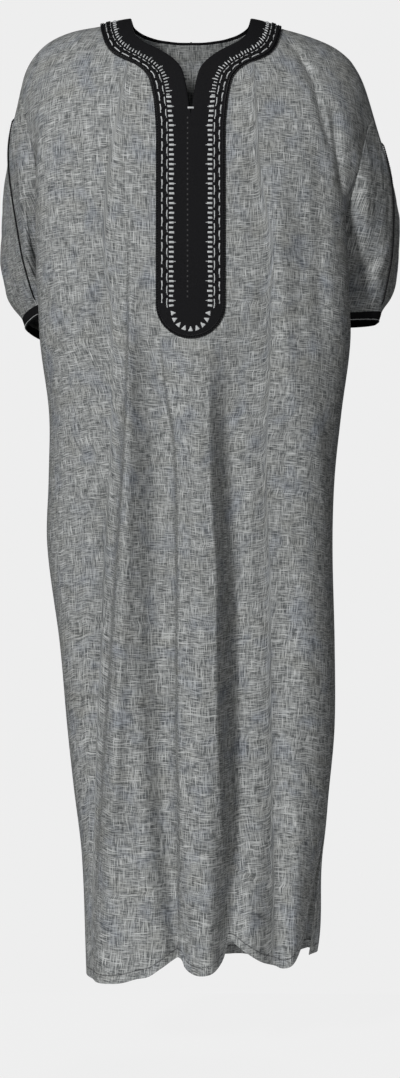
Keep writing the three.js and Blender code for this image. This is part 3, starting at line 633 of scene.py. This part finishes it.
def fibre_look(name, dark, light, roughness, shine, size=(0.0006, 0.0006, 0.0006), relief=0.8):
    """Thread or plain cotton, with fibres and small changes of tone."""
    look = Look(name, roughness, Specular_IOR_Level=shine)
    place = look.add("ShaderNodeTexCoord").outputs["Object"]
    fibre = look.noise(place, size)
    look.colour(look.blend(look.ramp(fibre, 0.3, 0.7), dark, light))
    look.bump(fibre, 0.0002, relief)
    return look.material


# ---- the frame and its pieces
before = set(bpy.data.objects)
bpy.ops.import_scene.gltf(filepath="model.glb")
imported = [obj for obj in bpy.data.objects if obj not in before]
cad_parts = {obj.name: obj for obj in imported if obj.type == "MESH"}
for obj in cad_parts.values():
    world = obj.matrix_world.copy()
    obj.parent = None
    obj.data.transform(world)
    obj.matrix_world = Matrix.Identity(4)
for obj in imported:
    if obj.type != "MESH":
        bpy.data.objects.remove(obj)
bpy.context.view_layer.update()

LINEN_DARK = (0.07, 0.074, 0.075)
LINEN_LIGHT = (0.28, 0.288, 0.284)
LINEN_SLUB = (0.47, 0.48, 0.475)
LINEN_COOL_DARK = (0.062, 0.07, 0.086)
LINEN_COOL_LIGHT = (0.24, 0.264, 0.304)
LINEN_WARM_DARK = (0.076, 0.076, 0.07)
LINEN_WARM_LIGHT = (0.298, 0.298, 0.272)
STITCH_COLOUR = (0.03, 0.03, 0.032)
STITCH_INSET = 12
GREY = linen_look()
BLACK = fibre_look("black_cotton", (0.0035, 0.0035, 0.004), (0.0095, 0.0095, 0.0105), 0.9, 0.1,
                   (0.0008, 0.003, 0.0008), 0.6)
CORD = fibre_look("black_cord", (0.002, 0.002, 0.0025), (0.008, 0.008, 0.009), 0.4, 0.18)
THREAD = fibre_look("light_thread", (0.27, 0.28, 0.285), (0.52, 0.53, 0.53), 0.6, 0.3)
FAINT = fibre_look("faint_thread", (0.02, 0.02, 0.02), (0.05, 0.05, 0.05), 0.6, 0.2)


def add_piece(name, mesh, look, slot, *nodes):
    """Piece of a mesh in mm, whose third part, if any, gives places on the flat cloth."""
    vertices, faces, *cut = mesh
    data = bpy.data.meshes.new(name)
    data.from_pydata(vertices * MM, [], faces.tolist())
    data.shade_smooth()
    data.set_sharp_from_angle(angle=math.radians(SHARP_ANGLE))
    for places in cut:
        data.attributes.new("cut", "FLOAT_VECTOR", "POINT").data.foreach_set("vector", places.ravel())
    piece = linked(name, data)
    data.materials.append(look)
    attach(piece, "root")
    if nodes:
        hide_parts(*nodes)


# Soft folds and creases that the solids leave out
FRONT_SOFT = [
    (430, HEM, (6, 18, 34), (12, 14), (3, 7)),  # broader centre ridge
    (430, HEM, (-66, -68, -32), (22, 18), (5, 16)),  # shallower hollow beside it
    (180, 560, (-98, -102, -100), (7, 8), (4, 5)),
    (150, 470, (-138, -141, -146), (8, 9), (4, 5)),
    (160, 520, (84, 96, 112), (16, 18), (-4, -5)),
    (230, 600, (118, 128, 150), (12, 12), (4, 5)),
    (170, 480, (176, 178, 182), (10, 10), (-4, -5)),
    (330, 1300, (-88, -92, -118), (10, 11), (4, 5)),
    (900, HEM, (-90, -84, -74), (14, 12), (-2, -5)),
    (880, HEM, (134, 146, 140), (12, 12), (3, 6)),
]
# Sharp folds: side the cloth drops on, breadth of the wall, height of the lip as a share of the
# depth, and rows of drop down the garment, x of the edge, depth and reach of the return
PLEAT_RAMP = 42  # the cloth rises to the lip over this breadth, in a curve of this power
PLEAT_SWELL = 1.6
PLEAT_WALL = (0.8, 1.4, -1.2)  # how the wall drops: factors of a curve's first three powers
FRONT_PLEATS = [
    (1, 44, 0.5, [(0, 12, 0, 90), (400, 20, 0, 90), (505, 25, 12, 90), (615, 25.5, 22, 95),
                  (725, 30, 28, 95), (779, 34, 30, 95), (889, 34, 33, 95), (999, 36, 33, 95),
                  (1108, 40, 32, 95), (1204, 45.5, 26, 85), (1280, 50, 18, 80), (1350, 52, 14, 75)]),
    (-1, 5, 0, [(0, -60, 0, 50), (400, -45, 0, 50), (505, -36, 10, 56), (615, -20, 17, 62),
                (725, -17.5, 22, 64), (999, -17, 23, 64), (1108, -15, 21, 60), (1280, -14, 16, 54),
                (1350, -14, 14, 50)]),
    (-1, 6, 0.2, [(0, -90, 0, 60), (240, -84, 2, 60), (450, -84, 14, 80), (615, -90, 20, 90),
                  (779, -101, 24, 90), (889, -108, 24, 90), (999, -116, 22, 80), (1108, -122, 19, 70),
                  (1200, -128, 13, 60), (1350, -132, 10, 50)]),
]
FRONT_CREASES = [
    (-210, 405, -170, 418, 4, 3, -3),
    (-174, 416, -92, 562, -7, 3, -3.5),
    (-196, 790, -120, 770, 4, 3.5, -2.6),
    (124, 14, 178, 92, -4, 4, -6),
    (170, 74, 198, 190, 3, 5, -6),
    (196, 100, 214, 250, 3, 5, -5),
    (60, 470, 100, 540, 3, 8, -1.6),
    (-60, 500, -20, 640, 3, 8, 1.5),
    (150, 330, 205, 380, 4, 7, -2),
    (-200, 300, -150, 360, 4, 8, -2),
]
BACK_SOFT = [
    (60, 420, (150, 140, 110), (14, 16), (-3, -4)),
    (60, 420, (-146, -134, -104), (14, 16), (-3, -4)),
    (700, HEM, (0, 8, 14), (10, 12), (2, 4)),
]
BACK_CREASES = [
    (-190, 150, -120, 300, 8, 8, -3),
    (190, 160, 124, 310, -8, 8, -3),
    (-150, 420, -60, 470, 6, 9, -2.5),
    (60, 400, 150, 450, -6, 9, -2.5),
]

bands = {True: Band(True), False: Band(False)}
NECK_UNDERLAP = 3  # the panels' neck edges stop this far under the bands
NECK_STEPS = 8
NECK_EASE = 200  # the rows follow the neckline, less and less down to this drop
SLIT_CUT = 154
SLIT_HALF = 2.2
PANEL_COLUMNS = 196
PANEL_STEP = 6.2
PLEATS_TOP = 400
PLEAT_COLUMNS = [(112, 130), (88, 83), (54, 48)]  # columns at the top and foot of each sharp fold
HEM_TURN = 16  # the rows are close together over the turned hem
HEM_ROWS = 10
HEM_SWELL = 0.5
STITCH_DEEP = 0.9  # how far the hem's stitches draw the cloth in, and over what half breadth
STITCH_DRAW = 1.4
SLIT_LESS = 4  # the slits are stitched this much nearer to their edge than the hem
SIDE_CALM = 0.05  # the relief dies out towards the side seams
BAND_CALM_HALF = 30  # and under the band: within this x, above this drop
BAND_CALM_DROP = 440
BAND_CALM_EASE = 60
FAR_FROM_EDGE = 500


def neck_drop(is_front, across):
    """How far down the neckline cuts each column."""
    inner = bands[is_front].inner
    drop = np.zeros(across.shape)
    for _ in range(NECK_STEPS):
        reach = np.abs(panel_points(is_front, across, drop)[..., 0]) - NECK_UNDERLAP
        cut = np.interp(-reach, -inner[:, 0], inner[:, 1]) + NECK_UNDERLAP
        cut = np.where(is_front & (reach < SLIT_HALF), SLIT_CUT, cut)
        drop = np.where(reach < inner[0, 0], cut, 0)
    return np.minimum(drop, SLIT_CUT)


def pleated_columns(drop):
    """Columns that keep to the edges of the sharp folds, so that each edge is one line of points."""
    drop = np.maximum(drop, PLEATS_TOP)
    lines = {0: -np.ones(len(drop)), PANEL_COLUMNS: np.ones(len(drop))}
    for (side, wall, _, rows), (top, foot) in zip(FRONT_PLEATS, PLEAT_COLUMNS):
        edge = tabled(rows, drop, 1)
        lines[top] = across_at(True, edge, drop)
        lines[foot] = across_at(True, edge + side * wall, drop)
    known = sorted(lines)
    rows = np.transpose([lines[column] for column in known])
    return np.array([np.interp(np.arange(PANEL_COLUMNS + 1), known, row) for row in rows])


def panel_sheet(is_front):
    """Grid of a panel, with its place on the cut: across, down, and distance to a sewn edge."""
    across = np.linspace(-1, 1, PANEL_COLUMNS + 1)[None, :]
    if is_front:
        across = pleated_columns(np.zeros(1))
    start = neck_drop(is_front, across[0])
    body = np.arange(0, HEM - HEM_TURN, PANEL_STEP)
    turn = np.linspace(HEM - HEM_TURN, HEM, HEM_ROWS)
    drop = np.concatenate([body, turn])[:, None]
    drop = drop + start * np.clip(1 - drop / NECK_EASE, 0, 1)
    across = np.broadcast_to(across, drop.shape)
    if is_front:
        across = pleated_columns(drop[:, 0])
    x = panel_points(is_front, across, drop)[..., 0]
    to_hem = HEM - drop
    relief = panel_relief(is_front, x, drop)
    relief *= smooth((1 - np.abs(across)) / SIDE_CALM)
    below_band = np.clip((drop - BAND_CALM_DROP) / BAND_CALM_EASE, 0, 1)
    relief *= smooth((np.abs(x) - BAND_CALM_HALF) / BAND_CALM_EASE + below_band)
    relief += HEM_SWELL * smooth((STITCH_INSET + 1 - to_hem) / 2)
    relief -= STITCH_DEEP * np.exp(-(((to_hem - STITCH_INSET) / STITCH_DRAW) ** 2))
    grid = panel_points(is_front, across, drop, relief)

    walked = distances(grid[..., :2], 1)
    middle = np.argmin(np.abs(across), axis=1)[:, None]
    across_cut = walked - np.take_along_axis(walked, middle, axis=1)
    down_cut = distances(grid[..., 1:]) - grid[0, :, 2]
    to_side = np.minimum(walked, walked[:, [-1]] - walked)
    to_slit = np.where(drop > SLIT_TOP - STITCH_INSET, to_side + SLIT_LESS, FAR_FROM_EDGE)
    return grid, np.stack([across_cut, down_cut, np.minimum(to_hem, to_slit)], -1)


for is_front, name in ((True, "front_panel"), (False, "back_panel")):
    grid, cut = panel_sheet(is_front)
    add_piece(f"{name}_cloth", sheet(grid, 1 if is_front else -1, cut), GREY, "cloth", name)

# Sleeves: columns run from the overarm seam to the underarm seam
SLEEVE_COLUMNS = 90
SLEEVE_STEPS = 100
SLEEVE_EASE = 1.3  # draws the rows together at the armhole
SLEEVE_SEED = 40
SEAM_CALM = 16  # the relief dies out this near to the seams, in mm, and towards the armhole and
ARMHOLE_CALM = 0.12  # the cuff, in shares of the length
CUFF_CALM = 0.08
ARMHOLE_GROOVE = {"right": 6, "left": 2}
GROOVE_HALF = 3.5
GROOVE_END = 10
SLEEVE_LEAN = 0.1  # slope of the threads against the upright
SLEEVE_RADIUS = 60
# x and y of the axis that the threads go round, at its top and low end
SLEEVE_AXIS = {"right": ((238, 190), (38, 100)), "left": ((258, 222), (40, 105))}
SLEEVE_AXIS_TOP = 250
SLEEVE_AXIS_LENGTH = 175


def sleeve_sheet(side, is_front):
    """Grid of half a sleeve, the way it faces and its place on level threads round the arm."""
    sign = SIDES[side]
    ease = np.linspace(0, 1, SLEEVE_STEPS + 1) ** SLEEVE_EASE
    rows = CUFF_START * ease
    grid = sleeve_points(side, is_front, SLEEVE_COLUMNS + 1, rows)
    facing = -sign if is_front else sign
    low = np.clip((-grid[..., 2] - SLEEVE_AXIS_TOP) / SLEEVE_AXIS_LENGTH, 0, 1)
    (x_top, x_low), (y_top, y_low) = SLEEVE_AXIS[side]
    outward = sign * grid[..., 0] - x_top - (x_low - x_top) * low
    backward = grid[..., 1] - y_top - (y_low - y_top) * low
    level = SLEEVE_RADIUS * np.unwrap(np.arctan2(backward, outward), axis=1)
    cut = np.stack([level - SLEEVE_LEAN * grid[..., 2], -grid[..., 2] - SLEEVE_LEAN * level,
                    np.full(level.shape, FAR_FROM_EDGE)], -1)
    u, v = distances(grid, 1), distances(grid)
    edge = np.minimum(u, u[:, [-1]] - u)
    relief = sum(rumples("sleeve", u, v, SLEEVE_SEED + 10 * is_front + (side == "left")))
    relief *= smooth(edge / SEAM_CALM) * smooth(rows[:, None] / ARMHOLE_CALM)
    relief *= smooth((1 - ease[:, None]) / CUFF_CALM)
    groove = np.exp(-((v / GROOVE_HALF) ** 2)) * smooth(edge / GROOVE_END)
    relief -= ARMHOLE_GROOVE[side] * groove
    return grid + grid_normals(grid, facing) * relief[..., None], facing, cut


for side in SIDES:
    for is_front, half in ((True, "sleeve_front"), (False, "sleeve_back")):
        mesh = sheet(*sleeve_sheet(side, is_front))
        add_piece(f"{side}_{half}_cloth", mesh, GREY, "cloth", f"{side}_{half}")

# Cuffs with a light line of stitching near the open edge, and the piping above them
CUFF_COLUMNS = 60
CUFF_ROWS = 12
CUFF_LIP = 0.8
CUFF_STITCH = 0.82  # share of the cuff's width at which the line runs
CUFF_STITCH_LIFT = 0.35
PIPING_LIFT = 1.5
PIPING_COLUMNS = 40
PIPING_ROWS = 240
PIPING_SINK = 9  # rows at each end over which the piping goes into the seam
PIPING_SHARES = (CUFF_START / 7, CUFF_START * 0.985)  # of the sleeve's length, from and to
# Ropes: how far the strands lie from the middle, their radius and the pitch of the twist
CUFF_THREAD = (0.3, 0.4, 3.5)
PIPING_CORD = (0.62, 0.85, 6)
BRAID_CORD = (0.62, 0.8, 7)
WOVEN_CORD = (0.45, 0.65, 4)
for side, sign in SIDES.items():
    rows = np.linspace(CUFF_START, 1, CUFF_ROWS)
    front, back = (sleeve_points(side, half, CUFF_COLUMNS + 1, rows) for half in (True, False))
    ring = np.concatenate([front, back[:, -2::-1]], axis=1)
    swell = CUFF_LIP * np.sqrt(np.clip(1 - np.linspace(-1, 1, CUFF_ROWS) ** 2, 0, 1))[:, None, None]
    normal = grid_normals(ring, -sign)
    ring = ring + normal * swell
    mesh = sheet(ring, -sign, np.zeros(ring.shape))
    add_piece(f"{side}_cuff_cloth", mesh, BLACK, "black_cloth", f"{side}_cuff")
    at = weights(np.linspace(0, 1, CUFF_ROWS), [CUFF_STITCH])[0]
    line = np.einsum("r,rck->ck", at, ring + normal * CUFF_STITCH_LIFT)
    mesh = rope(line, normal[-2], *CUFF_THREAD)
    add_piece(f"{side}_cuff_stitching", mesh, THREAD, "embroidery_thread")

    rows = np.linspace(*PIPING_SHARES, PIPING_ROWS)
    front, back = (sleeve_points(side, half, PIPING_COLUMNS + 1, rows) for half in (True, False))
    normal = unit(grid_normals(front, -sign)[:, 0] + grid_normals(back, sign)[:, 0])
    to_end = np.minimum(np.arange(PIPING_ROWS), np.arange(PIPING_ROWS)[::-1])
    height = PIPING_LIFT * (2 * smooth(to_end / PIPING_SINK) - 1)
    mesh = rope(front[:, 0] + normal * height[:, None], normal, *PIPING_CORD)
    add_piece(f"{side}_piping_cord", mesh, CORD, "black_cord", f"{side}_piping")

# Bands and their braid
BAND_ROWS = 300
BAND_COLUMNS = 26
BAND_TOP = BAND_LIFT + BAND_THICK
BAND_SINK = 0.1
BAND_EDGE_ROLL = 1.2
BRAID_LIFT = 1.7
BRAID_STEP = 0.9
BRAID_ROPES = ((1.3, 1), (3.7, -1))  # inset and way of the twist


def band_cloth(band, side):
    """Half a band as a shell, rolled over at the neck and flush at the middle line."""
    along = np.linspace(0, band.length, BAND_ROWS)[:, None]
    wide = band.width(along)
    inset = BRAID_WIDTH / 2 + np.linspace(0, 1, BAND_COLUMNS)[None, :] * (wide - BRAID_WIDTH / 2)
    rolled = np.minimum((wide - inset) / BAND_EDGE_ROLL, 1)
    rolled = np.where(band.at(band.inner, along)[..., 0] < 1, 1, rolled)
    outer, _ = band.place(side, along, inset, BAND_LIFT + BAND_THICK * np.sqrt(1 - (1 - rolled) ** 2))
    under, _ = band.place(side, along, inset, BAND_LIFT - BAND_SINK)
    return shell(outer, under, (side > 0) == band.is_front)


for is_front, name in ((True, "placket"), (False, "back_neck")):
    band = bands[is_front]
    mesh = joined([band_cloth(band, side) for side in (-1, 1)])
    add_piece(f"{name}_band_cloth", mesh, BLACK, "black_cloth", f"{name}_band")
    ropes = []
    for inset, twist in BRAID_ROPES:
        walked = np.linspace(0, band.length, int(band.length / BRAID_STEP))
        right, left = (band.place(side, walked, inset, BRAID_LIFT) for side in (-1, 1))
        path, normal = (np.concatenate([r, l[-2::-1]]) for r, l in zip(right, left))
        ropes.append(rope(path, normal, *BRAID_CORD, twist))
    add_piece(f"{name}_braid_cord", joined(ropes), CORD, "black_cord", f"{name}_braid")

# Embroidery, in rows that follow the outer edge: two rows of dashes with a black cord that weaves
# between them, and satin bars inside these. Near the shoulder it grows finer.
FULL_WIDTH = 48
ROW_POINTS = 1500
SHAKE = 0.6  # unevenness of the handwork
DASH_PERIOD = 17.4
DASH_LONG = 12.6
DASH_BOW = 0.5
DASH_ROWS = ((8.5, 1.7, 8), (15.8, 1.4, 14))  # inset, breadth, reach past the round's centre
WAVE_INSET = 12.2
WAVE_REACH = 2.5
WAVE_PAST = 6
WAVE_STEP = 0.8
WAVE_LIFT = 0.7
BAR_INSET = (18.4, 24.4)
BAR_UNEVEN = (-0.3, 0.6)  # every other bar is longer
BAR_WIDE = 2.9
BAR_PITCH = 6.7
BAR_PAST = 11
BAR_DEPTH_SHARE = 0.3  # the bars spread out where the band runs back over the shoulder
NECK_BAR_PITCH = 4.6
NECK_BAR_WIDE = 0.55
NECK_BAR_SHORTER = 0.8
TIP_INSET = 27.4
TIP_HALF = 0.4
TIP_EVERY = 4
TIP_START = -0.2
STITCH_HEIGHT = 0.8
BAR_HEIGHT = 1.0
SHOULDER_GAP = 4


def embroider(band, side, straight_from, straight_to, rng):
    """Rows of stitches on one half of a band, as light pads and black cords."""
    def place(along, inset, lift):
        return band.place(side, along, inset * np.minimum(band.width(along) / FULL_WIDTH, 1), lift)

    def row_at(inset, past=0, depth=1.0):
        """Length of a row, distances along it and the places along the band's edge they lie at."""
        along = np.linspace(0, straight_to + past * band.is_front, ROW_POINTS)
        row_points = place(along, inset, 0)[0] * (1, depth, 1)
        steps = np.linalg.norm(np.diff(row_points, axis=0), axis=1)
        return steps.sum(), np.concatenate([[0], np.cumsum(steps)]), along

    def shake(count):
        return rng.uniform(-SHAKE, SHAKE, (count, 1, 1))

    light = []
    for row, (inset, breadth, past) in enumerate(DASH_ROWS):
        end, walked, edge = row_at(inset, past)
        first = SHOULDER_GAP + DASH_PERIOD * (0.5 + 0.5 * row)
        centres = np.arange(first, end - DASH_LONG / 2, DASH_PERIOD)
        along = centres[:, None, None] + shake(len(centres)) + lengthwise(9) * DASH_LONG / 2
        bow = (DASH_BOW, -DASH_BOW)[row] * np.cos(lengthwise(9) * math.pi / 2)
        across = inset + bow + breadthwise(5) * breadth / 2
        light.append(pads(place, np.interp(along, walked, edge), across, STITCH_HEIGHT))
    end, walked, edge = row_at(WAVE_INSET, WAVE_PAST)
    along = np.arange(SHOULDER_GAP, end, WAVE_STEP)
    wave = WAVE_INSET + WAVE_REACH * np.sin(2 * math.pi * (along - SHOULDER_GAP) / DASH_PERIOD)
    cord = rope(*place(np.interp(along, walked, edge), wave, BAND_TOP + WAVE_LIFT), *WOVEN_CORD)

    end, walked, edge = row_at(np.mean(BAR_INSET), BAR_PAST, BAR_DEPTH_SHARE)
    bend = np.interp(straight_from, edge, walked)
    centres = np.concatenate([np.arange(SHOULDER_GAP, min(bend, end), NECK_BAR_PITCH),
                              np.arange(bend, end, BAR_PITCH)])[:, None, None]
    uneven = shake(len(centres))
    count = np.arange(len(centres))
    at_neck = centres < bend
    start = BAR_INSET[0] + NECK_BAR_SHORTER * at_neck
    inner = BAR_INSET[1] + np.array(BAR_UNEVEN)[count % 2][:, None, None] + uneven
    half = BAR_WIDE / 2 * np.where(at_neck, NECK_BAR_WIDE, 1)
    along = np.interp(centres + breadthwise(5) * half, walked, edge)
    light.append(pads(place, along, start + (inner - start) * lengthwise(7, 0), BAR_HEIGHT))
    few = count % TIP_EVERY == 1
    along = np.interp((centres + uneven)[few] + breadthwise(3) * TIP_HALF, walked, edge)
    tips = inner[few] + (TIP_INSET - inner[few]) * lengthwise(5, TIP_START)
    light.append(pads(place, along, tips, TIP_HALF))
    return light, cord


def front_place(x, drop, lift):
    point, normal = surface(True, x, drop)
    return point + normal * np.asarray(lift)[..., None], normal


TRIANGLES = 9
TRIANGLE_TURNS = (5, 175)
TRIANGLE_CENTRE = -425.5
TRIANGLE_REACH = (20.4, 27)
TRIANGLE_HALF = (0.5, 3.4)  # at the tip and the base


def round_end_triangles():
    """Light triangles fanned round the placket's end, base outwards."""
    angle = np.radians(np.linspace(*TRIANGLE_TURNS, TRIANGLES))[:, None, None]
    radius = np.linspace(*TRIANGLE_REACH, 7)[None, :, None]
    half = np.linspace(*TRIANGLE_HALF, 7)[None, :, None] * breadthwise(5)
    x = radius * np.cos(angle) - half * np.sin(angle)
    z = TRIANGLE_CENTRE - radius * np.sin(angle) - half * np.cos(angle)
    return pads(front_place, x, drop_at(True, x, z), BAR_HEIGHT)


FORWARD = (0, -1, 0)
BACK_OUTWARD = (0, 1, 0.2)


def add_stitches(name, parts, look, outward=FORWARD):
    """Piece of pads, with any face turned over that looks against the outward direction."""
    vertices, faces = joined(parts)
    a, b, c = (vertices[faces[:, k]] for k in range(3))
    wrong = np.cross(b - a, c - a) @ outward < 0
    faces[wrong] = faces[wrong][:, ::-1]
    add_piece(name, (vertices, faces), look, "embroidery_thread")


STRAIGHT_DROP = 130  # the placket's edge is nearly straight from here down
PAST_END = 50
BACK_GAP = 2
rng = np.random.default_rng(7)
for is_front, name in ((True, "placket"), (False, "back_neck")):
    band = bands[is_front]
    straight, last = band.length + PAST_END, band.length - BACK_GAP
    if is_front:
        straight = band.along[np.argmax(band.outer[:, 1] > STRAIGHT_DROP)]
        last = band.length - PLACKET_HALF * math.pi / 2
    light, cords = [], []
    for side in (-1, 1):
        pads_here, cord = embroider(band, side, straight, last, rng)
        light += pads_here
        cords.append(cord)
    if is_front:
        light.append(round_end_triangles())
    add_stitches(f"{name}_embroidery", light, THREAD, FORWARD if is_front else BACK_OUTWARD)
    add_piece(f"{name}_woven_cord", joined(cords), CORD, "black_cord")

# Knots down the middle of the placket, and the bar tack that closes the slit
KNOT_X = -4.2
KNOT_HALF = (1.0, 1.3)
KNOT_HEIGHT = 0.7
KNOT_PITCH = 7
KNOT_TOP = 160
KNOT_BOTTOM = 410
TACK_DROP = 146
TACK_HALF = (4.2, 1.3)
TACK_HEIGHT = 1.0
knots = np.arange(KNOT_TOP, KNOT_BOTTOM, KNOT_PITCH)[:, None, None] + lengthwise(5) * KNOT_HALF[1]
mesh = pads(front_place, KNOT_X + breadthwise(5) * KNOT_HALF[0], knots, KNOT_HEIGHT)
add_stitches("placket_knots", [mesh], FAINT)
tack_drop = TACK_DROP + breadthwise(5) * TACK_HALF[1]
mesh = pads(front_place, lengthwise(9) * TACK_HALF[0], tack_drop, TACK_HEIGHT)
add_stitches("slit_bar_tack", [mesh], THREAD)

# ---- floor, light and camera
PHOTO_HEIGHT = 1078
FOCAL_PIXELS = 2465
CAMERA_PLACE = (0.0128, -3.5, -0.737)
BACKDROP = 0.855
BACKDROP_LIGHT = 0.1  # what the backdrop gives as light, against what the camera sees of it
FLOOR_Z = -1.46
FLOOR_HALF = (0.5, 0.42)
FLOOR_BASE = 0.03
FLOOR_GLOW = 0.835

camera_data = bpy.data.cameras.new("camera")
camera_data.sensor_fit = "VERTICAL"
camera_data.angle = 2 * math.atan(PHOTO_HEIGHT / 2 / FOCAL_PIXELS)
camera = linked("camera", camera_data)
camera.location = CAMERA_PLACE
camera.rotation_euler = (math.pi / 2, 0, 0)
scene = bpy.context.scene
scene.camera = camera
scene.view_settings.view_transform = "Standard"

world = bpy.data.worlds.new("world")
scene.world = world
world.use_nodes = True
tree = world.node_tree
background = tree.nodes["Background"]
background.inputs["Color"].default_value = (BACKDROP, BACKDROP, BACKDROP, 1)
seen = tree.nodes.new("ShaderNodeLightPath")
strength = tree.nodes.new("ShaderNodeMapRange")
strength.inputs["To Min"].default_value = BACKDROP_LIGHT
strength.inputs["To Max"].default_value = 1.0
tree.links.new(seen.outputs["Is Camera Ray"], strength.inputs["Value"])
tree.links.new(strength.outputs[0], background.inputs["Strength"])

floor_mesh = bpy.data.meshes.new("floor")
corners = [(x * FLOOR_HALF[0], y * FLOOR_HALF[1], FLOOR_Z)
           for x, y in ((-1, -1), (1, -1), (1, 1), (-1, 1))]
floor_mesh.from_pydata(corners, [], [(0, 1, 2, 3)])
floor_look = Look("pale_floor", 1.0, Specular_IOR_Level=0.0, Emission_Strength=1.0)
for socket, grey in (("Base Color", FLOOR_BASE), ("Emission Color", FLOOR_GLOW)):
    floor_look.shader.inputs[socket].default_value = (grey, grey, grey, 1)
floor_mesh.materials.append(floor_look.material)
linked("floor", floor_mesh)
LIGHT_TARGET = (0, 0, -0.7)


def area_light(name, place, size, power):
    """Square light that looks at the middle of the garment."""
    data = bpy.data.lights.new(name, "AREA")
    data.shape = "SQUARE"
    data.size = size
    data.energy = power
    light = linked(name, data)
    light.location = place
    x, y, z = np.subtract(LIGHT_TARGET, place)
    light.rotation_euler = (math.atan2(math.hypot(x, y), -z), 0, math.atan2(-x, y))


area_light("key", (-1.8, -3.8, 0.7), 0.6, 190)
area_light("fill", (1.2, -4.0, 0.0), 1.0, 38)
area_light("back", (0.8, 3.9, 0.9), 1.2, 110)
